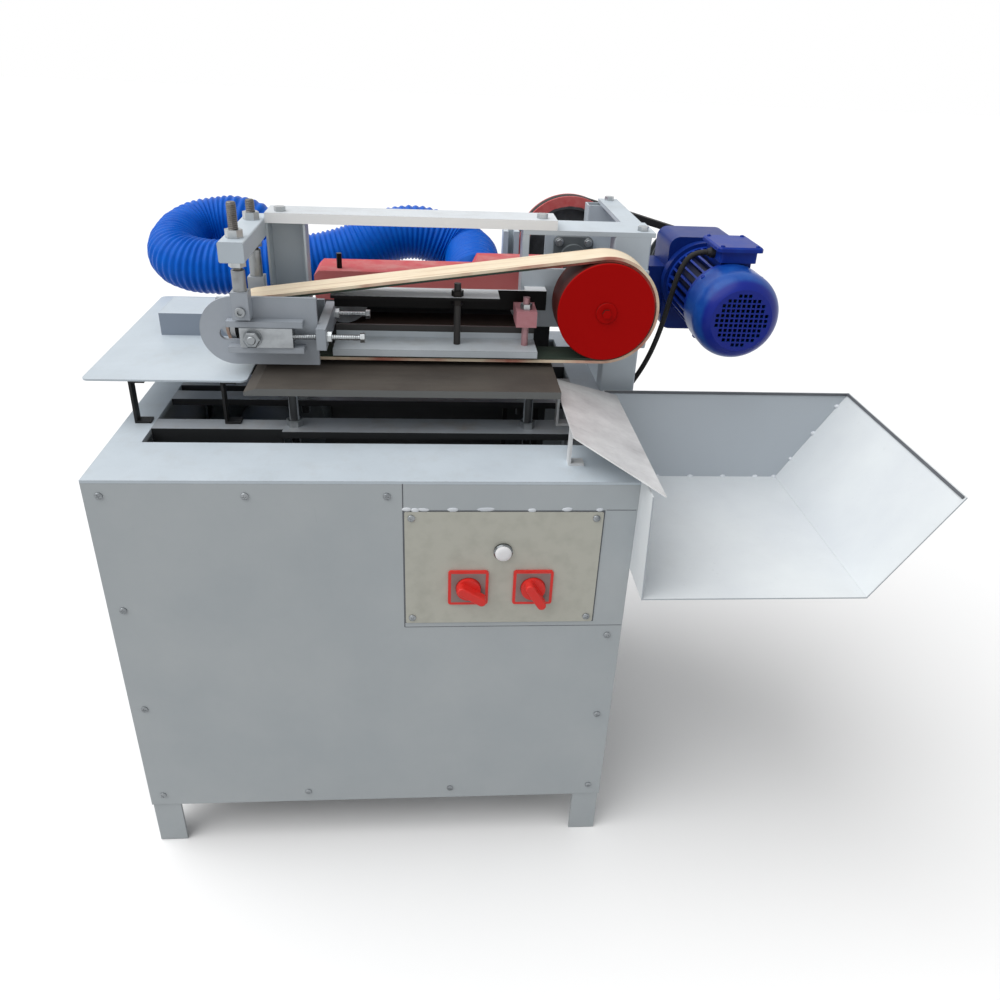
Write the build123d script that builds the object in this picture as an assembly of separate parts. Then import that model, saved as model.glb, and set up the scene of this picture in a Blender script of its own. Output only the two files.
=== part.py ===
from build123d import *
import math
import os

os.makedirs("parts", exist_ok=True)

# A floor-standing machine that points wooden skewers. Sizes are in millimetres.
# Drawn with X running right from the cabinet's left side, Y back from its front face and Z up.

# Fits and stock
running_fit = 0.05
seat_fit = 0.02
slide_gap = 0.3
belt_gap = 0.3
thread_gap = 0.3
sheet = 2
bar_plate = 8

# Line-up from the cabinet's front to its back
tower_front = 386
grinder_rail_y = (512, 572)
grinder_pulley_y = (602, 624)
rear_room = 68
tower_rear_depth = 40
tower_rear_front = grinder_pulley_y[1] + rear_room
tower_rear_y = (tower_rear_front, tower_rear_front + tower_rear_depth)
back_margin = 18

# Cabinet
cabinet_width = 850
cabinet_depth = tower_rear_y[1] + back_margin
cabinet_height = 787
leg_height = 98
angle_side = 50
angle_wall = 5
deck_thickness = 5
deck_front_depth = 134
deck_back_depth = 60
deck_side_width = 52
deck_bottom = cabinet_height - deck_thickness
rail_top = leg_height + angle_side

# Control area in the upper right of the front
control_left = cabinet_width - 372
control_bottom = cabinet_height - 278
control_plate_x = (control_left + 2, control_left + 318)
control_plate_z = (control_bottom + 10, control_bottom + 225)
control_plate_thickness = 2
lamp_x = control_left + 160
lamp_z = control_bottom + 152
lamp_bezel_radius = 15.5
lamp_barrel_radius = 10.8
lamp_lens_radius = 10
switch_x = (control_left + 105, control_left + 212)
switch_z = control_bottom + 83
switch_plate_side = 66
switch_plate_thickness = 4
switch_body_side = 46
switch_body_depth = 50
switch_neck_radius = 16
switch_hole_radius = 17
knob_radius = 20
knob_spindle_radius = 5
knob_angles = (-32, -58)

# Screws
screw_radius = 6
screw_height = 3.5
screw_inset = 24
screw_top_inset = 21
bolt_radius = 10
bolt_height = 8

# Stick path, feed belt, drive wheel and idler
bed_rise = 86
bed_top = cabinet_height + bed_rise
stick_gap = 9
belt_thickness = 9
belt_y = (274, 338)
belt_centre_y = (belt_y[0] + belt_y[1]) / 2
belt_inside_z = bed_top + stick_gap + belt_thickness
wheel_x = cabinet_width - 27
wheel_radius = 85
wheel_y = (266, 345)
wheel_z = belt_inside_z + belt_gap + wheel_radius
wheel_hub_radius = 27
wheel_rim = 11
wheel_web = 14
wheel_boss_radius = 18
wheel_boss_height = 3
wheel_bolt_radius = 8
wheel_bolt_height = 6
shaft_seat = 6
idler_x = 228
idler_radius = 44.5
idler_y = (262, 348)
idler_z = belt_inside_z + belt_gap + idler_radius
axle_radius = 10
tension_travel = 12

# Side plates that carry the idler, with guides, crossbar and push screws
side_plate_front_y = 245
side_plate_back_y = 360
side_plate_x = (138, 332)
side_plate_height = 115
side_plate_bottom = bed_top + stick_gap + 0.5
back_plate_top = side_plate_bottom + 82.5
slot_back = 47
guide_depths = (20, 12)
guide_height = 10
guide_x = (186, 310)
block_x = (207, 293)
block_height = 33
block_depths = (22, 14)
crossbar_x = (side_plate_x[1], side_plate_x[1] + 16)
crossbar_height = 36
push_screw_radius = 5
push_screw_length = 110
push_head_radius = 8.5
push_head_length = 8

# Hanger: square arm, rods and clamps
rod_x = 214
rod_radius = 8
rod_shank_radius = 11
rod_tops = (bed_top + 277, bed_top + 256)
clamp_side = 28
clamp_z = ((bed_top + 94, bed_top + 139), (bed_top + 82, bed_top + 127))
arm_width = 40
arm_height = 32
arm_rise = 8
arm_front = 196
nut_height = 13

# Beam, left post and tower
post_depth = 40
beam_depth = 70
beam_thickness = 17
tower_bar = 8
tower_bar_depth = 96
post_top = bed_top + 207
beam_right = cabinet_width - 105
left_post_width = 68
tower_left = cabinet_width - 166
tower_left_bar = 12
tower_rear_left_x = (cabinet_width - 176, cabinet_width - 142)
tower_post_side = 40
tower_post_wall = 4
tower_right_width = 68
tower_leg_bottom = cabinet_height - 147
bearing_plate_z = (wheel_z - 61.3, wheel_z + 45.7)
rear_bearing_plate_left = wheel_x - 60
shaft_radius = 15
bearing_side = 84
bearing_base = 12
bearing_nose = 11
bearing_nose_radius = 28

# V-belts, as width and height of the section, and the rear drive
small_v_belt = (13, 10)
large_v_belt = (22, 14)
groove_side_gap = 0.5
pulley_width = 38
rear_pulley_radius = 112
rear_pulley_front = tower_rear_y[1] + 12
rear_pulley_y = (rear_pulley_front, rear_pulley_front + pulley_width)
output_pulley_radius = 66

# Gear motor
motor_x = cabinet_width + 229
motor_z = bed_top + 82
motor_core_radius = 62
motor_fin_radius = 75
motor_fin_width = 4
motor_fins = 28
fan_cover_radius = 80
fan_cover_y = (305, 395)
fan_cover_wall = 3
fan_face_radius = 56
grille_pitch = 9
grille_hole = 6.4
motor_end_y = 560
gear_flange_radius = 82
gear_flange_y = (motor_end_y, motor_end_y + 22)
gearbox_half_width = 73
gearbox_z = (motor_z - 103, motor_z + 88)
gearbox_y = (gear_flange_y[1], gear_flange_y[1] + 118)
gearbox_cover_radius = 58
gearbox_cover_end = gearbox_y[1] + 16
output_shaft_radius = 14
bracket_thickness = 12
bracket_z = (motor_z - 85, motor_z + 35)
terminal_box_x = (motor_x - 25, motor_x + 45)
terminal_box_y = (fan_cover_y[1] + 5, fan_cover_y[1] + 102)
terminal_box_z = (motor_z + fan_cover_radius, motor_z + fan_cover_radius + 21)
terminal_lid_height = 9
terminal_lid_lip = 8

# Motor cable and glands
cable_radius = 5
gland_radius = 10
gland_length = 14
box_gland_y = terminal_box_y[0] + 40
cable_gland_y = 458
cable_gland_z = cabinet_height - 60

# Press shoe and its carrier
shoe_x = (crossbar_x[1] + 4, cabinet_width - 142)
shoe_thickness = 12
shoe_overhang = 6
shoe_lift = 0.5
shoe_flange_height = 22
shoe_flange = 6
stud_radius = 6
stud_x = (shoe_x[1] - 141, shoe_x[1] - 20)
stud_tops = (bed_top + 139, bed_top + 117)
guide_block_side = 36
guide_block_z = (bed_top + 68, bed_top + 96)
carrier_x = (350, tower_left + 44)
carrier_flange_right = stud_x[0] + 73
carrier_y = (292, 352)
carrier_z = (bed_top + 82, bed_top + 117)
carrier_wall = 5

# Bed
bed_x = (218, cabinet_width - 112)
bed_y = (156, 376)
bed_board_thickness = 12
bed_ramp = (20, 6)
bed_base_inset = 22
bed_base_thickness = 8
bed_stud_radius = 8
bed_stud_x = (288, bed_x[1] - 48)
bed_stud_y = (207, 338)
bed_stud_bottom = cabinet_height - 31
bed_collar_height = 10

# Rails across the opening
front_rail_x = 270
front_rail_y = (178, 238)
rail_thickness = 12
cross_angle_side = 40
cross_angle_wall = 4
bed_rail_y = (318, 358)
post_rail_y = (tower_front - 1, tower_front + 59)
channel_height = 30
channel_wall = 5
shelf_x = (cabinet_width - 250, cabinet_width - 52)
shelf_thickness = 5

# Feed table and fence
table_x = (-54, 214)
table_y = (205, 696)
table_top = bed_top - 6
table_thickness = 3
table_corner = 12
leg_strip_width = 20
leg_strip = 4
leg_foot = 26
fence_x = (14, 206)
fence_y = (437, 545)
fence_height = 42
fence_wall = 3

# Chute and collecting tray
chute_x = (bed_x[1] + 4, cabinet_width + 20)
chute_z = (bed_top - 23, cabinet_height + 16)
chute_left_y = (30, 282)
chute_right_y = (-75, 322)
chute_leg_y = (56, 214)
tray_floor_x = cabinet_width + 367
tray_floor_y = (-90, 329)
tray_floor_z = cabinet_height - 161
tray_top_x = tray_floor_x + 124
tray_top_y = (-72, 353)
tray_top_z = cabinet_height + 13

# Abrasive belt unit
abrasive_wheel_x = (352, cabinet_width - 128)
abrasive_radius = 48
abrasive_thickness = 1.5
abrasive_y = (488, 562)
abrasive_bottom = bed_top + 7
abrasive_z = abrasive_bottom + abrasive_thickness + belt_gap + abrasive_radius
abrasive_wheel_y = (486, 564)
abrasive_axle_radius = 10
grinder_shaft_radius = 12
grinder_plate_x = (310, abrasive_wheel_x[1] + 48)
grinder_plate_y = (grinder_rail_y[1], grinder_rail_y[1] + bar_plate)
grinder_plate_top = bed_top + 107
port_rib = 10
grinder_foot = 60
grinder_boss_radius = 30
grinder_boss_length = 20
grinder_pulley_radius = 36
hood_x = (300, abrasive_wheel_x[1] + 56)
hood_front = 476
hood_z = (bed_top + 57, bed_top + 112)
hood_step_x = hood_x[1] - 166
hood_step_top = hood_z[1] + 18
hood_stud_radius = 5
hood_stud_height = 28

# Grinding motor in the cabinet
grinding_motor_z = rail_top + shelf_thickness + 80
grinding_motor_radius = 72
grinding_motor_y = (380, 585)
motor_pulley_radius = 45

# Dust port, hose and suction fan
port_x = hood_step_x
port_z = hood_z[0] + 12
spigot_radius = 54
spigot_length = 60
hose_bore = spigot_radius + slide_gap
hose_valley = 56.5
hose_crest = 60
hose_rib_pitch = 12
fan_x = 156
fan_z = cabinet_height - 197
fan_radius = 128
fan_depth = 105
fan_back = cabinet_depth - sheet - angle_wall - 3
fan_y = (fan_back - fan_depth, fan_back)
fan_ring_radius = 74
fan_outlet_width = 90
fan_motor_radius = 65
fan_motor_front = fan_y[0] - 155
fan_guard = 8

# Middle of the footprint on the floor, which becomes the origin
origin_x = (table_x[0] + tray_top_x) / 2
origin_y = (tray_floor_y[0] + cabinet_depth + spigot_length) / 2


def block(x, y, z):
    low = (Align.MIN, Align.MIN, Align.MIN)
    return Pos(x[0], y[0], z[0]) * Box(x[1] - x[0], y[1] - y[0], z[1] - z[0], align=low)


def lift_x(sketch, x):
    return extrude(Plane.YZ.offset(x[0]) * sketch, x[1] - x[0])


def lift_y(sketch, y):
    return extrude(Plane.XZ.offset(-y[1]) * sketch, y[1] - y[0])


def lift_z(sketch, z):
    return extrude(Plane.XY.offset(z[0]) * sketch, z[1] - z[0])


def outline(*points):
    return make_face(Polyline(*points, close=True))


def rod_along_x(y, z, radius, x):
    return lift_x(Pos(y, z) * Circle(radius), x)


def rod_along_y(x, z, radius, y):
    return lift_y(Pos(x, z) * Circle(radius), y)


def rod_along_z(x, y, radius, z):
    return lift_z(Pos(x, y) * Circle(radius), z)


def turned_y(x, z, *profile):
    return Pos(x, 0, z) * revolve(outline(*profile), Axis.Y)


def mirrored_outline(points, x, y, side_x, side_y):
    return outline(*[(x + side_x * a, y + side_y * b) for a, b in points])


def angle_section(side_a, side_b, wall):
    return [(0, 0), (side_a, 0), (side_a, wall), (wall, wall), (wall, side_b), (0, side_b)]


def channel_section(width, height, wall):
    inner = width - wall
    return [(0, 0), (wall, 0), (wall, height - wall), (inner, height - wall), (inner, 0),
            (width, 0), (width, height), (0, height)]


def band(x_a, z_a, radius_a, x_b, z_b, radius_b, thickness, y):
    def around(extra):
        circles = [Pos(x_a, z_a) * Circle(radius_a + extra), Pos(x_b, z_b) * Circle(radius_b + extra)]
        return make_hull([edge for circle in circles for edge in circle.edges()])

    return lift_y(around(thickness) - around(0), y)


def hex_nut(radius, height, hole):
    return extrude(RegularPolygon(radius, 6) - Circle(hole), height)


def pan_head():
    head = Cylinder(screw_radius, screw_height, align=(Align.CENTER, Align.CENTER, Align.MIN))
    return fillet(head.edges().group_by(Axis.Z)[-1], screw_height * 0.6)


def hex_head():
    return extrude(RegularPolygon(bolt_radius, 6), bolt_height)


def v_pulley(x, z, radius, bore, y, belt):
    middle = (y[0] + y[1]) / 2
    bottom = belt[0] / 2 + groove_side_gap
    top = bottom + 1.5
    floor = radius - belt[1]
    return turned_y(x, z, (bore, y[0]), (radius, y[0]), (radius, middle - top), (floor, middle - bottom),
                    (floor, middle + bottom), (radius, middle + top), (radius, y[1]), (bore, y[1]))


def v_belt(x_a, z_a, radius_a, x_b, z_b, radius_b, y, belt):
    middle = (y[0] + y[1]) / 2
    span = (middle - belt[0] / 2, middle + belt[0] / 2)
    inset = belt[1] - belt_gap
    return band(x_a, z_a, radius_a - inset, x_b, z_b, radius_b - inset, belt[1], span)


def save(name, *pieces):
    solids = [solid for piece in pieces for solid in piece.solids()]
    place = Pos(-origin_x, -origin_y, 0)
    export_step(place * Compound(solids), f"parts/{name}.step")


def steps(first, last, count):
    return [first + (last - first) * i / (count - 1) for i in range(count)]


def cabinet_frame():
    inside_x = (sheet, cabinet_width - sheet)
    inside_y = (sheet, cabinet_depth - sheet)
    section = angle_section(angle_side, angle_side, angle_wall)
    posts = []
    for x, side_x in ((inside_x[0], 1), (inside_x[1], -1)):
        for y, side_y in ((inside_y[0], 1), (inside_y[1], -1)):
            posts.append(lift_z(mirrored_outline(section, x, y, side_x, side_y), (0, deck_bottom)))
    rails = []
    run_x = (inside_x[0] + angle_side, inside_x[1] - angle_side)
    run_y = (inside_y[0] + angle_side, inside_y[1] - angle_side)
    for z, side_z in ((leg_height, 1), (deck_bottom, -1)):
        for y, side_y in ((inside_y[0], 1), (inside_y[1], -1)):
            rails.append(lift_x(mirrored_outline(section, y, z, side_y, side_z), run_x))
        for x, side_x in ((inside_x[0], 1), (inside_x[1], -1)):
            rails.append(lift_y(mirrored_outline(section, x, z, side_x, side_z), run_y))
    save("cabinet_frame", *posts, *rails)


def top_deck():
    back = cabinet_depth - deck_back_depth
    z = (deck_bottom, cabinet_height)
    front_plate = block((0, cabinet_width), (0, deck_front_depth), z)
    back_plate = block((0, cabinet_width), (back, cabinet_depth), z)
    left_plate = block((0, deck_side_width), (deck_front_depth, back), z)
    right_plate = block((cabinet_width - deck_side_width, cabinet_width), (deck_front_depth, back), z)
    save("top_deck", front_plate, back_plate, left_plate, right_plate)


def support_rails():
    run = (deck_side_width, cabinet_width - deck_side_width)
    flat_z = (cabinet_height - rail_thickness, cabinet_height)
    front_rail = block((front_rail_x, run[1]), front_rail_y, flat_z)
    bed_rail = block(run, bed_rail_y, flat_z)
    for x in bed_stud_x:
        front_rail -= rod_along_z(x, bed_stud_y[0], bed_stud_radius + thread_gap, flat_z)
        bed_rail -= rod_along_z(x, bed_stud_y[1], bed_stud_radius + thread_gap, flat_z)
    angle = angle_section(cross_angle_side, cross_angle_side, cross_angle_wall)
    angle_y = front_rail_y[0] + 10
    cross_angle = lift_x(mirrored_outline(angle, angle_y, cabinet_height, 1, -1), (run[0], front_rail_x))
    channels = []
    for y in (post_rail_y, grinder_rail_y):
        section = channel_section(y[1] - y[0], channel_height, channel_wall)
        channels.append(lift_x(mirrored_outline(section, y[0], cabinet_height - channel_height, 1, 1), run))
    shelf = block(shelf_x, (sheet, cabinet_depth - sheet), (rail_top, rail_top + shelf_thickness))
    save("support_rails", front_rail, bed_rail, cross_angle, *channels, shelf)


def front_panel():
    right = cabinet_width
    main = outline((0, leg_height), (right, leg_height), (right, control_bottom),
                   (control_left, control_bottom), (control_left, deck_bottom), (0, deck_bottom))
    header = outline((control_left, control_bottom), (right, control_bottom),
                     (right, deck_bottom), (control_left, deck_bottom))
    header -= Pos(lamp_x, lamp_z) * Circle(lamp_barrel_radius + slide_gap)
    for x in switch_x:
        header -= Pos(x, switch_z) * Circle(switch_hole_radius)
    save("front_panel", lift_y(main, (0, sheet)), lift_y(header, (0, sheet)))


def side_panels():
    z = (leg_height, deck_bottom)
    y = (sheet, cabinet_depth - sheet)
    left = block((0, sheet), y, z)
    right = block((cabinet_width - sheet, cabinet_width), y, z)
    back = block((0, cabinet_width), (y[1], cabinet_depth), z)
    back -= rod_along_y(fan_x, fan_z, spigot_radius + slide_gap, (y[1], cabinet_depth))
    save("side_panels", left, right, back)


def panel_screws():
    low = leg_height + angle_side / 2
    high = deck_bottom - screw_top_inset
    far = cabinet_width - screw_inset
    last = control_left - screw_inset
    front = [(x, low) for x in steps(screw_inset, far, 4)]
    front += [(x, high) for x in steps(screw_inset, last, 3)]
    front += [(screw_inset, z) for z in steps(low, high, 4)[1:3]]
    front += [(far, z) for z in steps(low, control_bottom - screw_top_inset, 3)[1:]]
    facing_front = Rot(90, 0, 0)
    screws = [Pos(x, 0, z) * facing_front * pan_head() for x, z in front]
    corner = 11
    for x in (control_plate_x[0] + corner, control_plate_x[1] - corner):
        for z in (control_plate_z[0] + corner, control_plate_z[1] - corner):
            screws.append(Pos(x, -control_plate_thickness, z) * facing_front * pan_head())
    for z in (low, high):
        for y in steps(screw_inset, cabinet_depth - screw_inset, 3):
            screws.append(Pos(0, y, z) * Rot(0, -90, 0) * pan_head())
        for x in steps(screw_inset, far, 4):
            screws.append(Pos(x, cabinet_depth, z) * Rot(-90, 0, 0) * pan_head())
    for y in steps(screw_inset, cabinet_depth - screw_inset, 3):
        screws.append(Pos(cabinet_width, y, low) * Rot(0, 90, 0) * pan_head())
    save("panel_screws", *screws)


def controls():
    width = control_plate_x[1] - control_plate_x[0]
    height = control_plate_z[1] - control_plate_z[0]
    centre = Pos(control_plate_x[0] + width / 2, control_plate_z[0] + height / 2)
    face = centre * RectangleRounded(width, height, 3)
    face -= Pos(lamp_x, lamp_z) * Circle(lamp_barrel_radius + slide_gap)
    for x in switch_x:
        face -= Pos(x, switch_z) * Circle(switch_hole_radius)
    front = -control_plate_thickness
    save("control_plate", lift_y(face, (front, 0)))

    lens_seat = lamp_lens_radius + slide_gap
    rim = lamp_bezel_radius
    bezel = turned_y(lamp_x, lamp_z, (0, front - 3), (lens_seat, front - 3), (lens_seat, front - 6),
                     (rim - 2, front - 6), (rim, front - 4), (rim, front), (lamp_barrel_radius, front),
                     (lamp_barrel_radius, 32), (0, 32))
    save("lamp_bezel", bezel)
    dome = ThreePointArc((0, front - 11), (7, front - 9.8), (lamp_lens_radius, front - 7))
    rim = lamp_lens_radius
    sides = Polyline((rim, front - 7), (rim, front - 3), (0, front - 3), (0, front - 11))
    save("lamp_lens", Pos(lamp_x, 0, lamp_z) * revolve(make_face([dome, sides]), Axis.Y))

    plate_y = (front - switch_plate_thickness, front)
    plates = []
    bodies = []
    for x in switch_x:
        square = RectangleRounded(switch_plate_side, switch_plate_side, 5)
        plate = lift_y(Pos(x, switch_z) * square, plate_y)
        inset = RectangleRounded(switch_plate_side - 12, switch_plate_side - 12, 3)
        plate -= lift_y(Pos(x, switch_z) * inset, (plate_y[0], plate_y[0] + 1))
        plate -= rod_along_y(x, switch_z, knob_spindle_radius + 1, plate_y)
        plates.append(plate)
        cube = RectangleRounded(switch_body_side, switch_body_side, 5)
        body = lift_y(Pos(x, switch_z) * cube, (sheet, sheet + switch_body_depth))
        body += rod_along_y(x, switch_z, switch_neck_radius, (front, sheet))
        body -= rod_along_y(x, switch_z, knob_spindle_radius + running_fit, (front, sheet + 20))
        bodies.append(body)
    save("switch_plates", *plates)
    save("switch_bodies", *bodies)

    base_y = (plate_y[0] - slide_gap - 7, plate_y[0] - slide_gap)
    grip_y = (base_y[0] - 17, base_y[0])
    for side, x, angle in zip(("left", "right"), switch_x, knob_angles):
        knob = rod_along_y(x, switch_z, knob_radius, base_y)
        grip = lift_y(Pos(x, switch_z) * Rot(0, 0, angle) * Pos(6, 0) * SlotOverall(54, 15), grip_y)
        knob += fillet(grip.faces().sort_by(Axis.Y)[0].edges(), 3)
        knob += rod_along_y(x, switch_z, knob_spindle_radius, (base_y[1], sheet + 18))
        save(f"switch_knob_{side}", knob)


def feed_table():
    x_middle = (table_x[0] + table_x[1]) / 2
    y_middle = (table_y[0] + table_y[1]) / 2
    top = RectangleRounded(table_x[1] - table_x[0], table_y[1] - table_y[0], table_corner)
    under = table_top - table_thickness
    save("feed_table", lift_z(Pos(x_middle, y_middle) * top, (under, table_top)))
    height = under - cabinet_height
    wall = leg_strip
    strip = [(0, 0), (leg_foot, 0), (leg_foot, wall), (wall, wall), (wall, height - wall),
             (leg_foot, height - wall), (leg_foot, height), (0, height)]
    front_y = front_rail_y[0] + cross_angle_side - 10
    back_y = grinder_rail_y[0] + 20
    legs = []
    for x in (deck_side_width - 32, 170):
        for y in (front_y, back_y):
            side = mirrored_outline(strip, x, cabinet_height, 1, 1)
            legs.append(lift_y(side, (y, y + leg_strip_width)))
    save("feed_table_legs", *legs)
    fence = channel_section(fence_y[1] - fence_y[0], fence_height, fence_wall)
    save("feed_fence", lift_x(mirrored_outline(fence, fence_y[0], table_top, 1, 1), fence_x))


def chute():
    fall = math.degrees(math.atan2(chute_z[0] - chute_z[1], chute_x[1] - chute_x[0]))
    run = math.hypot(chute_z[0] - chute_z[1], chute_x[1] - chute_x[0])
    corners = outline((0, chute_left_y[0]), (run, chute_right_y[0]),
                      (run, chute_right_y[1]), (0, chute_left_y[1]))
    slope = Pos(chute_x[0], 0, chute_z[0]) * Rot(0, fall, 0)
    pan = slope * extrude(corners, -sheet)
    drop = (chute_z[0] - chute_z[1]) / (chute_x[1] - chute_x[0])
    under = sheet / math.cos(math.radians(fall))
    inner = chute_x[0] + leg_strip
    side = outline((chute_x[0], cabinet_height), (chute_x[0] + leg_foot, cabinet_height),
                   (chute_x[0] + leg_foot, cabinet_height + leg_strip), (inner, cabinet_height + leg_strip),
                   (inner, chute_z[0] - under - leg_strip * drop), (chute_x[0], chute_z[0] - under))
    for y in chute_leg_y:
        pan += lift_y(side, (y, y + leg_strip_width))
    save("chute", pan)


def collecting_tray():
    left = cabinet_width
    flare_x = (tray_top_x - tray_floor_x) / (tray_top_z - tray_floor_z)
    flare_y = (tray_top_y[1] - tray_floor_y[1]) / (tray_top_z - tray_floor_z)
    wall_x = sheet * math.hypot(1, flare_x)
    wall_y = sheet * math.hypot(1, flare_y)

    def section(z, inset_left, inset_right, inset_back, front):
        rise = z - tray_floor_z
        x = (left + inset_left, tray_floor_x + flare_x * rise - inset_right)
        back = tray_floor_y[1] + flare_y * rise - inset_back
        return Plane.XY.offset(z) * outline((x[0], front), (x[1], front), (x[1], back), (x[0], back))

    floor = section(tray_floor_z, 0, 0, 0, tray_floor_y[0])
    shell = loft([floor, section(tray_top_z, 0, 0, 0, tray_top_y[0])])
    beyond = tray_floor_y[0] - 100
    inside_z = (tray_floor_z + sheet, tray_top_z + 10)
    inside = loft([section(z, sheet, wall_x, wall_y, beyond) for z in inside_z])
    save("collecting_tray", shell - inside)


def tower():
    left_x = (tower_left, tower_left + tower_left_bar)
    right_x = (cabinet_width, cabinet_width + tower_right_width)
    front_y = (tower_front, tower_front + post_depth)
    rear_width = tower_rear_left_x[1] - tower_rear_left_x[0]
    rear_section = channel_section(rear_width, tower_rear_y[1] - tower_rear_y[0], tower_left_bar - 1)
    rear_outline = mirrored_outline(rear_section, tower_rear_left_x[0], tower_rear_y[0], 1, 1)
    posts = [block(left_x, front_y, (cabinet_height, post_top)),
             lift_z(rear_outline, (cabinet_height, bearing_plate_z[1]))]
    for y in (front_y, tower_rear_y):
        middle = Pos((right_x[0] + right_x[1]) / 2, (y[0] + y[1]) / 2)
        outer = RectangleRounded(tower_right_width, y[1] - y[0], 4)
        inner = Rectangle(tower_right_width - 2 * tower_post_wall, y[1] - y[0] - 2 * tower_post_wall)
        posts.append(lift_z(middle * (outer - inner), (tower_leg_bottom, post_top)))
    bar_z = (post_top, post_top + tower_bar)
    bar_back = tower_front + tower_bar_depth
    front_bar = block((left_x[0], right_x[1] + 6), (tower_front, bar_back), bar_z)
    right_bar = block((right_x[1] - tower_post_side, right_x[1]), (bar_back, tower_rear_y[1]), bar_z)
    save("tower_frame", *posts, front_bar, right_bar)

    plates = []
    bearings = []
    for face, left in ((tower_front, tower_left), (tower_rear_y[0], rear_bearing_plate_left)):
        plate = block((left, right_x[1]), (face - bar_plate, face), bearing_plate_z)
        plates.append(plate - rod_along_y(wheel_x, wheel_z, shaft_radius + 2, (face - bar_plate, face)))
        seat = face - bar_plate
        base = RectangleRounded(bearing_side, bearing_side, 12)
        unit = lift_y(Pos(wheel_x, wheel_z) * base, (seat - bearing_base, seat))
        nose_y = (seat - bearing_base - bearing_nose, seat - bearing_base)
        unit += rod_along_y(wheel_x, wheel_z, bearing_nose_radius, nose_y)
        bearings.append(unit - rod_along_y(wheel_x, wheel_z, shaft_radius + running_fit, (nose_y[0], seat)))
    save("bearing_plates", *plates)
    save("feed_bearings", *bearings)


def beam_and_hanger():
    bar_top = post_top + tower_bar
    beam_y = (tower_front, tower_front + beam_depth)
    post_left = rod_x + arm_width / 2
    save("top_beam", block((post_left, beam_right), beam_y, (bar_top, bar_top + beam_thickness)))
    section = channel_section(left_post_width, post_depth, tower_post_wall)
    post_y = tower_front + 2
    post_outline = mirrored_outline(section, post_left, post_y, 1, 1)
    save("left_post", lift_z(post_outline, (cabinet_height, bar_top)))

    rod_y = (side_plate_front_y - clamp_side / 2, side_plate_back_y + clamp_side / 2)
    arm_z = (bar_top + arm_rise - arm_height, bar_top + arm_rise)
    arm_x = (rod_x - arm_width / 2, post_left)
    arm = block(arm_x, (arm_front, post_y + post_depth), arm_z)
    arm = fillet(arm.edges().filter_by(Axis.Y), 3)
    rods = []
    nuts = []
    for y, top, clamp in zip(rod_y, rod_tops, clamp_z):
        arm -= rod_along_z(rod_x, y, rod_radius + slide_gap, arm_z)
        shank_top = arm_z[0] - nut_height - 5
        rod = rod_along_z(rod_x, y, rod_shank_radius, (clamp[0], shank_top))
        rods.append(rod + rod_along_z(rod_x, y, rod_radius, (shank_top, top)))
        for z in (arm_z[0] - nut_height, arm_z[1]):
            nuts.append(Pos(rod_x, y, z) * hex_nut(14, nut_height, rod_radius + seat_fit))
    save("cross_arm", arm)
    save("hanger_rods", *rods)

    for x in bed_stud_x:
        for y in bed_stud_y:
            nut = hex_nut(14, nut_height - 1, bed_stud_radius + thread_gap)
            nuts.append(Pos(x, y, cabinet_height) * nut)
    flange_under = carrier_z[1] - carrier_wall
    stud_nut = hex_nut(10.5, 10, stud_radius + thread_gap)
    for x, z in ((stud_x[0], carrier_z[1]), (stud_x[0], flange_under - 10), (stud_x[1], guide_block_z[1])):
        nuts.append(Pos(x, belt_centre_y, z) * stud_nut)
    for y in tension_lines():
        nut = hex_nut(9.5, 8, push_screw_radius + thread_gap)
        nuts.append(Pos(crossbar_x[1], y, idler_z) * Rot(0, 90, 0) * nut)
    save("adjusting_nuts", *nuts)


def tension_lines():
    front = side_plate_front_y - slide_gap - block_depths[0] / 2
    back = side_plate_back_y + slide_gap + block_depths[1] / 2
    return (front, back)


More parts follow.
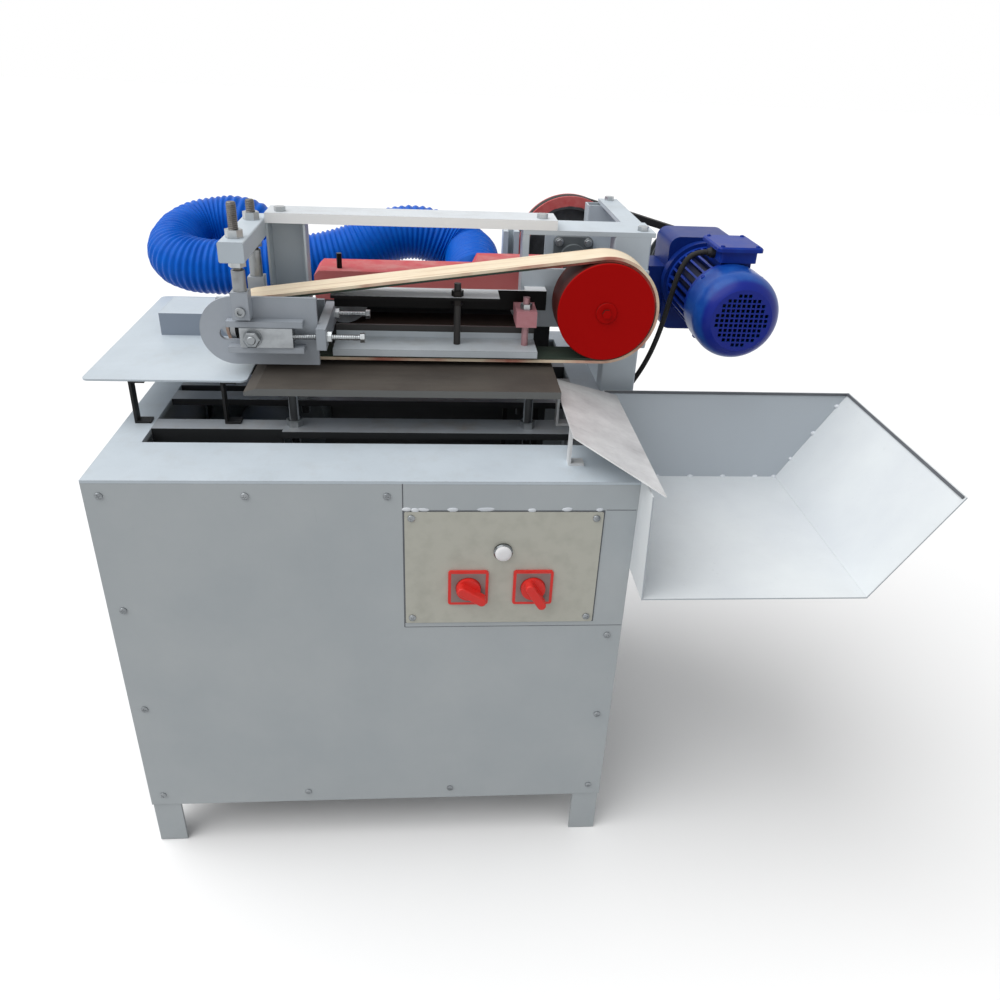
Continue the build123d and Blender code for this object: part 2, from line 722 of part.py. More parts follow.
def idler_holder():
    radius = side_plate_height / 2
    middle_z = side_plate_bottom + radius
    round_x = side_plate_x[0] + radius
    body = Pos(round_x, middle_z) * Circle(radius)
    width = side_plate_x[1] - round_x
    body += Pos(round_x + width / 2, middle_z) * Rectangle(width, side_plate_height)
    slot_x = (idler_x - slot_back, idler_x + tension_travel + 1)
    slot = SlotCenterToCenter(slot_x[1] - slot_x[0], 2 * (axle_radius + 1))
    body -= Pos((slot_x[0] + slot_x[1]) / 2, idler_z) * slot
    cut_height = side_plate_bottom + side_plate_height - back_plate_top
    cut = Rectangle(2 * (side_plate_x[1] - side_plate_x[0]), 2 * cut_height)
    low_body = body - Pos(round_x, back_plate_top + cut_height) * cut
    holders = []
    half = block_height / 2 + slide_gap
    reach = half + guide_height
    guide_z = ((idler_z + half, idler_z + reach), (idler_z - reach, idler_z - half))
    back_face = side_plate_back_y - bar_plate
    sides = ((body, side_plate_front_y, side_plate_front_y, -1, guide_depths[0], clamp_z[0]),
             (low_body, back_face, side_plate_back_y, 1, guide_depths[1], clamp_z[1]))
    for shape, low, face, out, depth, hold_z in sides:
        holder = lift_y(shape, (low, low + bar_plate))
        guide_y = sorted((face, face + out * depth))
        for z in guide_z:
            holder += block(guide_x, guide_y, z)
        clamp_y = sorted((face, face + out * clamp_side))
        clamp = block((rod_x - clamp_side / 2, rod_x + clamp_side / 2), clamp_y, hold_z)
        clamp_axis = (clamp_y[0] + clamp_y[1]) / 2
        holder += clamp
        holders.append(holder - rod_along_z(rod_x, clamp_axis, rod_shank_radius + seat_fit, hold_z))
    lines = tension_lines()
    margin = 16
    bar = block(crossbar_x, (lines[0] - margin, lines[1] + margin),
                (idler_z - crossbar_height / 2, idler_z + crossbar_height / 2))
    for y in lines:
        bar -= rod_along_x(y, idler_z, push_screw_radius + thread_gap, crossbar_x)
    save("idler_side_plates", *holders, bar)

    blocks = []
    screws = []
    for y, depth in zip(lines, block_depths):
        span = (y - depth / 2, y + depth / 2)
        slider = block(block_x, span, (idler_z - block_height / 2, idler_z + block_height / 2))
        blocks.append(slider - rod_along_y(idler_x, idler_z, axle_radius + seat_fit, span))
        end = block_x[1] + push_screw_length
        screw = rod_along_x(y, idler_z, push_screw_radius, (block_x[1], end))
        head = extrude(RegularPolygon(push_head_radius, 6), push_head_length)
        screws.append(screw + Pos(end, y, idler_z) * Rot(0, 90, 0) * head)
    save("tension_blocks", *blocks)
    save("push_screws", *screws)

    ends = (lines[0] - block_depths[0] / 2, lines[1] + block_depths[1] / 2)
    axle = rod_along_y(idler_x, idler_z, axle_radius, ends)
    head = RegularPolygon(14, 6)
    axle += lift_y(Pos(idler_x, idler_z) * head, (ends[0] - 12, ends[0]))
    axle += lift_y(Pos(idler_x, idler_z) * head, (ends[1], ends[1] + 12))
    save("idler_axle", axle)

    low, high = idler_y
    bore = axle_radius + running_fit
    rim = idler_radius - 8
    hub = 22
    recess = 30
    pulley = turned_y(idler_x, idler_z, (bore, low), (hub, low), (hub, low + recess), (rim, low + recess),
                      (rim, low), (idler_radius, low), (idler_radius, high), (rim, high),
                      (rim, high - recess), (hub, high - recess), (hub, high), (bore, high))
    save("idler_pulley", pulley)


def feed_drive():
    belt = band(wheel_x, wheel_z, wheel_radius + belt_gap, idler_x, idler_z, idler_radius + belt_gap,
                belt_thickness, belt_y)
    save("feed_belt", belt)
    front, back = wheel_y
    bore = shaft_radius + seat_fit
    inside = wheel_radius - wheel_rim
    boss = front - wheel_boss_height
    seat = front + shaft_seat
    hub = wheel_hub_radius
    nose = wheel_boss_radius
    wheel = turned_y(wheel_x, wheel_z, (0, boss), (nose - 1, boss), (nose, boss + 1), (nose, front),
                     (wheel_radius - 1.5, front), (wheel_radius, front + 1.5), (wheel_radius, back),
                     (inside, back), (inside, front + wheel_web), (hub, front + wheel_web), (hub, back),
                     (bore, back), (bore, seat - seat_fit), (0, seat - seat_fit))
    bolt = Pos(wheel_x, wheel_z) * RegularPolygon(wheel_bolt_radius, 6)
    save("drive_wheel", wheel + lift_y(bolt, (boss - wheel_bolt_height, boss)))
    save("feed_shaft", rod_along_y(wheel_x, wheel_z, shaft_radius, (seat, rear_pulley_y[1])))
    pulley = v_pulley(wheel_x, wheel_z, rear_pulley_radius, bore, rear_pulley_y, large_v_belt)
    web = Circle(rear_pulley_radius - large_v_belt[1] - 12) - Circle(34)
    dish = lift_y(Pos(wheel_x, wheel_z) * web, (rear_pulley_y[0], rear_pulley_y[0] + 12))
    dish += lift_y(Pos(wheel_x, wheel_z) * web, (rear_pulley_y[1] - 12, rear_pulley_y[1]))
    save("rear_pulley", pulley - dish)
    belt = v_belt(wheel_x, wheel_z, rear_pulley_radius, motor_x, motor_z, output_pulley_radius,
                  rear_pulley_y, large_v_belt)
    save("feed_v_belt", belt)


def gear_motor():
    ring = Circle(motor_core_radius)
    fin_length = motor_fin_radius - motor_core_radius + 4
    for i in range(motor_fins):
        fin = Rectangle(fin_length, motor_fin_width)
        ring += Rot(0, 0, 360 * i / motor_fins) * Pos(motor_fin_radius - fin_length / 2, 0) * fin
    frame = lift_y(Pos(motor_x, motor_z) * ring, (fan_cover_y[1] + 12, motor_end_y - 10))
    frame += rod_along_y(motor_x, motor_z, motor_fin_radius, (motor_end_y - 10, motor_end_y))
    frame += rod_along_y(motor_x, motor_z, fan_cover_radius - 1, (fan_cover_y[1], fan_cover_y[1] + 12))
    pedestal_top = terminal_box_z[0]
    pedestal_y = (terminal_box_y[0] + 12, terminal_box_y[1] - 8)
    pedestal = block((terminal_box_x[0] + 6, terminal_box_x[1] - 6), pedestal_y,
                     (motor_z + motor_core_radius - 14, pedestal_top))
    save("gear_motor", frame + pedestal)

    front, back = fan_cover_y
    radius = fan_cover_radius
    wall = fan_cover_wall
    face = fan_face_radius
    dome = 40
    bulge = dome * 0.42

    def dome_arc(small, large, y):
        return ThreePointArc((small, y), ((small + large) / 2 + 5, y + bulge), (large, y + dome))

    inside = face - wall / 2
    inside_radius = radius - wall
    outer = dome_arc(face, radius, front)
    inner = dome_arc(inside, inside_radius, front + wall)
    rim = Polyline((radius, front + dome), (radius, back), (inside_radius, back),
                   (inside_radius, front + wall + dome))
    floor = Polyline((inside, front + wall), (0, front + wall), (0, front), (face, front))
    section = make_face(outer.edges() + rim.edges() + inner.edges() + floor.edges())
    cover = Pos(motor_x, 0, motor_z) * revolve(section, Axis.Y)
    count = int(face // grille_pitch)
    places = [grille_pitch * i for i in range(-count, count + 1)]
    holes = [Pos(motor_x + a, motor_z + b) * Rectangle(grille_hole, grille_hole)
             for a in places for b in places if math.hypot(a, b) < face - grille_pitch]
    cover -= lift_y(Sketch() + holes, (front, front + wall))
    save("motor_fan_cover", cover)

    box = block(terminal_box_x, terminal_box_y, terminal_box_z)
    box = fillet(box.edges().filter_by(Axis.Z), 6)
    lip = terminal_lid_lip
    lid_x = (terminal_box_x[0] - lip, terminal_box_x[1] + lip)
    lid_y = (terminal_box_y[0] - lip, terminal_box_y[1] + lip)
    lid = block(lid_x, lid_y, (terminal_box_z[1], terminal_box_z[1] + terminal_lid_height))
    lid = fillet(lid.edges().filter_by(Axis.Z), 8)
    lid = chamfer(lid.faces().sort_by(Axis.Z)[-1].edges(), 3)
    save("terminal_box", box + lid)

    half = gearbox_half_width
    shell = block((motor_x - half, motor_x + half), gearbox_y, gearbox_z)
    shell = fillet(shell.edges().filter_by(Axis.Y), 22)
    shell = chamfer(shell.faces().sort_by(Axis.Y)[-1].edges(), 6)
    shell += rod_along_y(motor_x, motor_z, gear_flange_radius, gear_flange_y)
    shell += rod_along_y(motor_x, motor_z, gearbox_cover_radius, (gearbox_y[1], gearbox_cover_end))
    bracket_face = cabinet_width + tower_right_width + bracket_thickness
    foot_z = (bracket_z[0] + 10, bracket_z[1] - 10)
    foot = block((bracket_face, motor_x - half + 8), (gearbox_y[0] + 12, gearbox_y[1] - 10), foot_z)
    shell += foot
    bore_y = (gearbox_y[1] - 20, gearbox_cover_end)
    shell -= rod_along_y(motor_x, motor_z, output_shaft_radius + running_fit, bore_y)
    save("gearbox", shell)

    core = output_shaft_radius - 1
    pulley = v_pulley(motor_x, motor_z, output_pulley_radius, core, rear_pulley_y, large_v_belt)
    shaft_y = (gearbox_y[1] - 18, rear_pulley_y[1])
    save("output_pulley", pulley + rod_along_y(motor_x, motor_z, output_shaft_radius, shaft_y))
    bracket_y = (tower_front, tower_rear_y[1])
    bracket = block((bracket_face - bracket_thickness, bracket_face), bracket_y, bracket_z)
    save("motor_bracket", fillet(bracket.edges().filter_by(Axis.X), 12))


def motor_cable():
    box_gland_z = (terminal_box_z[0] + terminal_box_z[1]) / 2
    start = (terminal_box_x[0] - gland_length, box_gland_y, box_gland_z)
    end = (cabinet_width + gland_length, cable_gland_y, cable_gland_z)
    hang = [(-28, 0, 0), (-48, 0, -35.5), (-57, 0, -79.5), (-64, 1, -124.5), (-73, 2, -168.5),
            (-86, 5, -213.5), (-106, 10, -259.5)]
    points = [Vector(*start)] + [Vector(*start) + Vector(*offset) for offset in hang]
    points += [Vector(cabinet_width + 50, cable_gland_y, cable_gland_z), Vector(*end)]
    runs = [after - before for before, after in zip(points, points[1:])]
    radii = []
    for before, after in zip(runs, runs[1:]):
        half_turn = math.radians(before.get_angle(after) / 2)
        radii.append(0.45 * min(before.length, after.length) / math.tan(half_turn))
    path = FilletPolyline(*points, radius=radii)
    section = Plane(origin=points[0], z_dir=runs[0]) * Circle(cable_radius)
    cable = sweep(section, path=path)
    expected = math.pi * cable_radius ** 2 * path.length
    print("cable radii", [round(radius) for radius in radii], "length", round(path.length))
    print("cable volume over section times length", round(cable.volume / expected, 4))
    save("motor_cable", cable)

    profile = [(0, 0), (0, gland_radius), (8, gland_radius), (8, gland_radius - 2),
               (gland_length, cable_radius + 2), (gland_length, 0)]
    gland = revolve(outline(*profile), Axis.X)
    box_gland = Pos(terminal_box_x[0], box_gland_y, box_gland_z) * Rot(0, 0, 180) * gland
    side_gland = Pos(cabinet_width, cable_gland_y, cable_gland_z) * gland
    save("cable_glands", box_gland, side_gland)


def press_shoe():
    y = (belt_y[0] - shoe_overhang, belt_y[1] + shoe_overhang)
    low = belt_inside_z + shoe_lift
    top = low + shoe_thickness
    flange_top = top + shoe_flange_height
    flange_y = y[1] - shoe_flange
    section = outline((y[0], low), (y[1], low), (y[1], flange_top), (flange_y, flange_top), (flange_y, top),
                      (y[0], top))
    save("press_shoe", lift_x(section, shoe_x))
    studs = [rod_along_z(x, belt_centre_y, stud_radius, (top, high)) for x, high in zip(stud_x, stud_tops)]
    save("shoe_studs", *studs)
    upright_y = (carrier_y[1] - carrier_wall, carrier_y[1])
    carrier = block(carrier_x, upright_y, carrier_z)
    flange_z = (carrier_z[1] - carrier_wall, carrier_z[1])
    carrier += block((carrier_x[0], carrier_flange_right), (carrier_y[0], upright_y[0]), flange_z)
    half = guide_block_side / 2
    block_y = (belt_centre_y - half, upright_y[0])
    carrier += block((stud_x[1] - half, stud_x[1] + half), block_y, guide_block_z)
    carrier += block((tower_left + 6, carrier_x[1]), (carrier_y[1], tower_front - bar_plate), carrier_z)
    for x in stud_x:
        carrier -= rod_along_z(x, belt_centre_y, stud_radius + thread_gap, (guide_block_z[0], carrier_z[1]))
    save("shoe_carrier", carrier)


def bed():
    low = bed_top - bed_board_thickness
    ramp_run, ramp_drop = bed_ramp
    side = outline((bed_x[0], low), (bed_x[1], low), (bed_x[1], bed_top), (bed_x[0] + ramp_run, bed_top),
                   (bed_x[0], bed_top - ramp_drop))
    save("bed_board", lift_y(side, bed_y))
    inset = bed_base_inset
    under = low - bed_base_thickness
    base = block((bed_x[0] + inset, bed_x[1] - inset), (bed_y[0] + inset, bed_y[1] - inset), (under, low))
    for x in bed_stud_x:
        for y in bed_stud_y:
            base += rod_along_z(x, y, bed_stud_radius, (bed_stud_bottom, under))
            base += Pos(x, y, under - bed_collar_height) * hex_nut(13, bed_collar_height, 1)
    save("bed_base", base)


def grinder():
    left_x, right_x = abrasive_wheel_x
    plate_y = grinder_plate_y
    z = (cabinet_height, grinder_plate_top)
    foot_top = cabinet_height + bar_plate
    section = [(plate_y[1], z[0]), (plate_y[1], z[1]), (plate_y[0], z[1]), (plate_y[0], foot_top),
               (plate_y[1] - grinder_foot, foot_top), (plate_y[1] - grinder_foot, z[0])]
    plate = lift_x(outline(*section), grinder_plate_x)
    port = spigot_radius - sheet
    plate -= rod_along_y(port_x, port_z, port, plate_y)
    plate += block((port_x - port_rib / 2, port_x + port_rib / 2), plate_y, (port_z - port, port_z + port))
    tube = Circle(spigot_radius) - Circle(port)
    plate += lift_y(Pos(port_x, port_z) * tube, (plate_y[1], plate_y[1] + spigot_length))
    boss_end = plate_y[1] + grinder_boss_length
    plate += rod_along_y(right_x, abrasive_z, grinder_boss_radius, (plate_y[1], boss_end))
    bore_y = (plate_y[0], boss_end)
    plate -= rod_along_y(right_x, abrasive_z, grinder_shaft_radius + running_fit, bore_y)
    plate += rod_along_y(left_x, abrasive_z, abrasive_axle_radius, (abrasive_wheel_y[0], plate_y[0]))
    save("grinder_plate", plate)

    front, back = abrasive_wheel_y
    radius = abrasive_radius
    shaft_end = grinder_pulley_y[1]
    recess = back - 40
    drive = turned_y(right_x, abrasive_z, (0, front), (radius, front), (radius, back), (20, back),
                     (20, recess), (grinder_shaft_radius, recess), (grinder_shaft_radius, shaft_end),
                     (0, shaft_end))
    core = grinder_shaft_radius - 1
    drive += v_pulley(right_x, abrasive_z, grinder_pulley_radius, core, grinder_pulley_y, small_v_belt)
    save("abrasive_drive_wheel", drive)
    bore = abrasive_axle_radius + running_fit
    idler = turned_y(left_x, abrasive_z, (bore, front), (radius, front), (radius, back), (bore, back))
    save("abrasive_idler_wheel", idler)
    inside = radius + belt_gap
    belt = band(left_x, abrasive_z, inside, right_x, abrasive_z, inside, abrasive_thickness, abrasive_y)
    save("abrasive_belt", belt)

    bevel = 9
    step = hood_step_x
    shape = outline((hood_x[0], hood_z[0]), (hood_x[0], hood_z[1] - bevel), (hood_x[0] + bevel, hood_z[1]),
                    (step - bevel, hood_z[1]), (step, hood_step_top), (hood_x[1] - bevel, hood_step_top),
                    (hood_x[1], hood_step_top - bevel), (hood_x[1], hood_z[0]))
    hood = lift_y(shape, (hood_front, plate_y[0]))
    inside = offset(shape, -sheet, kind=Kind.INTERSECTION)
    mouth = Rectangle(hood_x[1] - hood_x[0] - 2 * sheet, 20)
    inside += Pos((hood_x[0] + hood_x[1]) / 2, hood_z[0]) * mouth
    save("grinder_hood", hood - lift_y(inside, (hood_front + sheet, plate_y[0])))


def grinding_motor():
    x = abrasive_wheel_x[1]
    z = grinding_motor_z
    y = grinding_motor_y
    radius = grinding_motor_radius
    body = turned_y(x, z, (0, y[0]), (radius - 12, y[0]), (radius, y[0] + 12), (radius, y[1] - 12),
                    (radius - 12, y[1]), (0, y[1]))
    floor = rail_top + shelf_thickness
    feet = outline((x - radius, floor), (x + radius, floor), (x + radius, floor + 12), (x + 40, z - 30),
                   (x - 40, z - 30), (x - radius, floor + 12))
    body += lift_y(feet, (y[0] + 50, y[1] - 50))
    body -= rod_along_y(x, z, grinder_shaft_radius + running_fit, (y[1] - 30, y[1]))
    save("grinding_motor", body)
    core = grinder_shaft_radius - 1
    pulley = v_pulley(x, z, motor_pulley_radius, core, grinder_pulley_y, small_v_belt)
    save("motor_pulley", pulley + rod_along_y(x, z, grinder_shaft_radius, (y[1] - 28, grinder_pulley_y[1])))
    belt = v_belt(x, abrasive_z, grinder_pulley_radius, x, z, motor_pulley_radius, grinder_pulley_y,
                  small_v_belt)
    save("grinder_v_belt", belt)


def dust_fan():
    left = fan_x - fan_radius
    scroll = Pos(fan_x, fan_z) * Circle(fan_radius)
    outlet_z = (rail_top, fan_z)
    outlet = Rectangle(fan_outlet_width, outlet_z[1] - outlet_z[0])
    scroll += Pos(left + fan_outlet_width / 2, (outlet_z[0] + outlet_z[1]) / 2) * outlet
    fan = lift_y(scroll, fan_y)
    panel_y = cabinet_depth - sheet
    fan += rod_along_y(fan_x, fan_z, fan_ring_radius, (fan_y[1], panel_y))
    throat = spigot_radius - sheet
    fan -= rod_along_y(fan_x, fan_z, throat, (fan_y[0] + sheet, panel_y))
    guard_x = (fan_x - fan_guard / 2, fan_x + fan_guard / 2)
    fan += block(guard_x, (panel_y - fan_guard, panel_y), (fan_z - throat, fan_z + throat))
    inlet = Circle(spigot_radius) - Circle(throat)
    fan += lift_y(Pos(fan_x, fan_z) * inlet, (panel_y, cabinet_depth + spigot_length))
    motor = turned_y(fan_x, fan_z, (0, fan_motor_front), (fan_motor_radius - 10, fan_motor_front),
                     (fan_motor_radius, fan_motor_front + 10), (fan_motor_radius, fan_y[0]), (0, fan_y[0]))
    save("dust_fan", fan + motor)


def dust_hose():
    start = (port_x, grinder_plate_y[1], port_z)
    end = (fan_x, cabinet_depth, fan_z)
    turn_y = 978
    corners = [start, (port_x, 848, port_z), (port_x - 150, 850, port_z + 58), (300, 800, port_z - 24),
               (-61, 764, port_z - 37), (-61, turn_y, port_z + 20), (fan_x, turn_y, port_z + 34),
               (fan_x, turn_y, fan_z), end]
    path = FilletPolyline(*corners, radius=[108, 150, 150, 100, 100, 104, 107])
    ribs = int(path.length // hose_rib_pitch)
    shape = ((0.0, hose_valley), (0.3, hose_crest), (0.6, hose_crest), (0.9, hose_valley))
    across = Vector(0, 0, 1)
    outer = []
    inner = []
    for rib in range(ribs):
        for share, radius in shape:
            outer.append(((rib + share) / ribs, radius))
        inner.append((rib / ribs, hose_bore))
    outer.append((1.0, hose_valley))
    inner.append((1.0, hose_bore))

    def rings(stations):
        steady = across
        circles = []
        for place, radius in stations:
            along = path.tangent_at(place)
            steady = (steady - along * steady.dot(along)).normalized()
            plane = Plane(path.position_at(place), x_dir=steady, z_dir=along)
            circles.append(Wire.make_circle(radius, plane))
        return circles

    outer_rings = rings(outer)
    inner_rings = rings(inner)
    tube = Solid.make_loft(outer_rings, ruled=True) - Solid.make_loft(inner_rings, ruled=True)
    print("hose ribs", ribs, "length", round(path.length))
    save("dust_hose", tube)


def frame_bolts():
    bar_top = post_top + tower_bar
    top = bar_top + beam_thickness
    middle = tower_front + post_depth / 2
    post_left = rod_x + arm_width / 2
    right_side = cabinet_width + tower_right_width
    bolts = []
    for x, z in ((post_left + 24, top), (beam_right - 26, top), (right_side - 14, bar_top)):
        bolts.append(Pos(x, middle, z) * hex_head())
    bolts.append(Pos(right_side - 20, tower_rear_y[1] - 20, bar_top) * hex_head())
    for y in (tower_front + post_depth / 2, (tower_rear_y[0] + tower_rear_y[1]) / 2):
        for z in (tower_leg_bottom + 40, tower_leg_bottom + 110):
            bolts.append(Pos(right_side, y, z) * Rot(0, 90, 0) * hex_head())
    bracket_face = right_side + bracket_thickness
    for y in (tower_front + 20, tower_rear_y[1] - 18):
        for z in (bracket_z[0] + 24, bracket_z[1] - 24):
            bolts.append(Pos(bracket_face, y, z) * Rot(0, 90, 0) * hex_head())
    for y in (60, 250):
        for z in (tray_floor_z + 60, tray_floor_z + 130):
            bolts.append(Pos(cabinet_width + sheet, y, z) * Rot(0, 90, 0) * hex_head())
    stud_x = hood_x[0] + 46
    stud_z = (hood_z[1], hood_z[1] + hood_stud_height)
    bolts.append(rod_along_z(stud_x, hood_front + 24, hood_stud_radius, stud_z))
    bolts.append(Pos(hood_step_x + 90, hood_front + 16, hood_step_top) * hex_head())
    save("frame_bolts", *bolts)


cabinet_frame()
top_deck()
support_rails()
front_panel()
side_panels()
panel_screws()
controls()
feed_table()
chute()
collecting_tray()
tower()
beam_and_hanger()
idler_holder()
feed_drive()
gear_motor()
motor_cable()
press_shoe()
bed()
grinder()
grinding_motor()
dust_fan()
dust_hose()
frame_bolts()
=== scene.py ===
import math
import random

import bpy
from mathutils import Matrix, Vector


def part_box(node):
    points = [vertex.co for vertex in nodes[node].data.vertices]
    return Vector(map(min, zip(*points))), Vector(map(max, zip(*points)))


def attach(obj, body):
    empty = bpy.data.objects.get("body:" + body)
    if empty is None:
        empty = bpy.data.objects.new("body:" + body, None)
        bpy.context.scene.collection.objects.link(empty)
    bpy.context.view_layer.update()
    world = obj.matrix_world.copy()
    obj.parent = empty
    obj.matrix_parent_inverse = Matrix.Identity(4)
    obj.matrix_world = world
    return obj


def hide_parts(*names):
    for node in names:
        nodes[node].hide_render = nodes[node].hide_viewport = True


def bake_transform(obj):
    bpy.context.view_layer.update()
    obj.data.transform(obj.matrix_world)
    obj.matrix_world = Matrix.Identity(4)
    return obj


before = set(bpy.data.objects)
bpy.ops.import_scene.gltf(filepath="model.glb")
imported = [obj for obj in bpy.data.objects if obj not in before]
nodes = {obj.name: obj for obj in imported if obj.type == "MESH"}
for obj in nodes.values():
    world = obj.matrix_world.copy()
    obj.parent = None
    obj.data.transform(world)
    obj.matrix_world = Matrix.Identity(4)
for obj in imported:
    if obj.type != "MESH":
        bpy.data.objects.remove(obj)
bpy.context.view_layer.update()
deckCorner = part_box("top_deck")[0]
toFront = Vector((0, -1, 0))
dice = random.Random(7)  # fixed, so that every run is the same
print("frame loaded with", len(nodes), "nodes")


def spot(x, y, z):  # a place in millimetres: right from the cabinet's left side, back from its front, up
    return Vector((deckCorner.x + x / 1000, deckCorner.y + y / 1000, z / 1000))


def middleOf(node):
    low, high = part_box(node)
    return (low + high) / 2


def deselectAll():
    if bpy.context.mode != "OBJECT":
        bpy.ops.object.mode_set(mode="OBJECT")
    bpy.ops.object.select_all(action="DESELECT")


def activate(piece):
    deselectAll()
    piece.select_set(True)
    bpy.context.view_layer.objects.active = piece


def pickFaces(piece, test):  # edit mode with only the faces that pass
    activate(piece)
    mesh = piece.data
    for parts in (mesh.vertices, mesh.edges, mesh.polygons):
        parts.foreach_set("select", [False] * len(parts))
    for face in mesh.polygons:
        face.select = test(face)
    bpy.context.tool_settings.mesh_select_mode = (False, False, True)
    bpy.ops.object.mode_set(mode="EDIT")


def facesUp(face):
    return face.normal.z > 0.9


def applyModifier(piece, kind, **settings):
    activate(piece)
    modifier = piece.modifiers.new(kind.title(), kind)
    for name, value in settings.items():
        setattr(modifier, name, value)
    bpy.ops.object.modifier_apply(modifier=modifier.name)


def bevel(piece, width, segments):  # rounds the sharp edges, in millimetres
    applyModifier(piece, "BEVEL", width=width / 1000, segments=segments, limit_method="ANGLE")


def smooth(piece, degrees):
    activate(piece)
    bpy.ops.object.shade_smooth_by_angle(angle=math.radians(degrees))


def placeMesh(piece):  # moves the object's place, turn and scale into its mesh
    activate(piece)
    bpy.ops.object.transform_apply(location=True, rotation=True, scale=True)
    return piece


def cylinder(sides, radius, depth, base=0.0, **more):  # upright, standing on the origin or on a base above it
    deselectAll()
    bpy.ops.mesh.primitive_cylinder_add(vertices=sides, radius=radius, depth=depth,
                                        location=(0, 0, base + depth / 2), **more)
    return placeMesh(bpy.context.object)


def cuboid(size, middle=(0, 0, 0), **more):
    deselectAll()
    bpy.ops.mesh.primitive_cube_add(size=1.0, scale=size, location=middle, **more)
    return placeMesh(bpy.context.object)


def raiseSteps(piece, steps):  # draws the top face in and lifts it, once for each step in millimetres
    pickFaces(piece, facesUp)
    for inset, rise in steps:
        bpy.ops.mesh.inset(thickness=inset / 1000)
        bpy.ops.transform.translate(value=(0, 0, rise / 1000))
    deselectAll()
    return piece


def joinPieces(pieces):
    for piece in pieces:
        placeMesh(piece)
    deselectAll()
    for piece in pieces:
        piece.select_set(True)
    bpy.context.view_layer.objects.active = pieces[0]
    if len(pieces) > 1:
        bpy.ops.object.join()
    return pieces[0]


def copiesAt(master, places):  # one mesh per copy, joined into a single piece
    placeMesh(master)
    copies = []
    for place in places:
        copy = master.copy()
        copy.data = master.data.copy()
        copy.data.transform(place)
        bpy.context.scene.collection.objects.link(copy)
        copies.append(copy)
    bpy.data.objects.remove(master)
    return joinPieces(copies)


def cutBy(piece, cutter):
    applyModifier(piece, "BOOLEAN", operation="DIFFERENCE", object=cutter, solver="EXACT", use_self=True)
    bpy.data.objects.remove(cutter)


def facing(place, direction):  # puts a piece that was modelled looking up at a place, looking this way
    return Matrix.Translation(place) @ direction.to_track_quat("Z", "Y").to_matrix().to_4x4()


def nameAndPaint(piece, name, finish):
    placeMesh(piece)
    piece.name = name
    piece.data.name = name
    piece.data.materials.clear()
    piece.data.materials.append(finishes[finish])


def finishPiece(piece, name, finish, body):
    nameAndPaint(piece, name, finish)
    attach(piece, body)
    return piece


def linear(hexColour):
    parts = [int(hexColour[i:i + 2], 16) / 255 for i in (1, 3, 5)]
    return [c / 12.92 if c <= 0.04045 else ((c + 0.055) / 1.055) ** 2.4 for c in parts] + [1.0]


def perMetre(millimetres):  # texture scale that gives features of this size
    return 1000 / millimetres


def addNode(tree, kind, inputs=None, output=None, **settings):  # gives the named output, or the first in use
    node = tree.nodes.new("ShaderNode" + kind)
    for name, value in settings.items():
        setattr(node, name, value)
    for name, value in (inputs or {}).items():
        if isinstance(value, bpy.types.NodeSocket):
            tree.links.new(value, node.inputs[name])
        else:
            node.inputs[name].default_value = value
    if output:
        return node.outputs[output]
    return next(socket for socket in node.outputs if socket.enabled)


def shaderOf(material):
    return material.node_tree.nodes["Principled BSDF"]


def startMaterial(**sockets):  # with its tree and the place on the object
    material = bpy.data.materials.new("finish")
    material.use_nodes = True
    for socket, value in sockets.items():
        shaderOf(material).inputs[socket.replace("_", " ")].default_value = value
    tree = material.node_tree
    return material, tree, addNode(tree, "TexCoord", output="Object")


def baseCoat(material, colours, gloss, relief):  # each a pattern with two ends, or with strength and depth
    tree = material.node_tree
    share, first, second = colours
    colour = addNode(tree, "Mix", {0: share, 6: linear(first), 7: linear(second)}, data_type="RGBA")
    pattern, low, high = gloss
    roughness = addNode(tree, "MapRange", {"Value": pattern, "To Min": low, "To Max": high})
    height, strength, depth = relief
    bump = addNode(tree, "Bump", {"Height": height, "Strength": strength, "Distance": depth / 1000})
    for name, value in (("Base Color", colour), ("Roughness", roughness), ("Normal", bump)):
        tree.links.new(value, shaderOf(material).inputs[name])
    return material


def overpaint(material, share, coat):  # lays a colour or a pattern of colours over what is there
    tree = material.node_tree
    target = shaderOf(material).inputs["Base Color"]
    under = target.links[0].from_socket
    over = linear(coat) if isinstance(coat, str) else coat
    tree.links.new(addNode(tree, "Mix", {0: share, 6: under, 7: over}, data_type="RGBA"), target)
    return material


def patches(tree, place, size, detail, low, high, most=1.0, rough=0.5):  # share of a coat in patches
    cloud = {"Vector": place, "Scale": perMetre(size), "Detail": detail, "Roughness": rough}
    noise = addNode(tree, "TexNoise", cloud)
    return addNode(tree, "MapRange", {"Value": noise, "From Min": low, "From Max": high, "To Max": most})


def rubbedEdges(tree, place, radius, most):  # share of wear: along corners in patches, none on flat faces
    rounded = addNode(tree, "Bevel", {"Radius": radius / 1000}, samples=4)
    normal = addNode(tree, "NewGeometry", output="Normal")
    bend = addNode(tree, "VectorMath", {0: rounded, 1: normal}, "Value", operation="DOT_PRODUCT")
    corner = addNode(tree, "MapRange", {"Value": bend, "From Min": 0.99, "From Max": 0.8, "To Max": most})
    worn = addNode(tree, "TexNoise", {"Vector": place, "Scale": perMetre(22), "Detail": 3.0})
    return addNode(tree, "Math", {0: corner, 1: worn}, operation="MULTIPLY")


def lookingShare(tree, axis, none, full, most=1.0):  # grows as faces turn along an axis
    normal = addNode(tree, "NewGeometry", output="Normal")
    along = addNode(tree, "SeparateXYZ", {"Vector": normal}, axis)
    return addNode(tree, "MapRange", {"Value": along, "From Min": none, "From Max": full, "To Max": most})


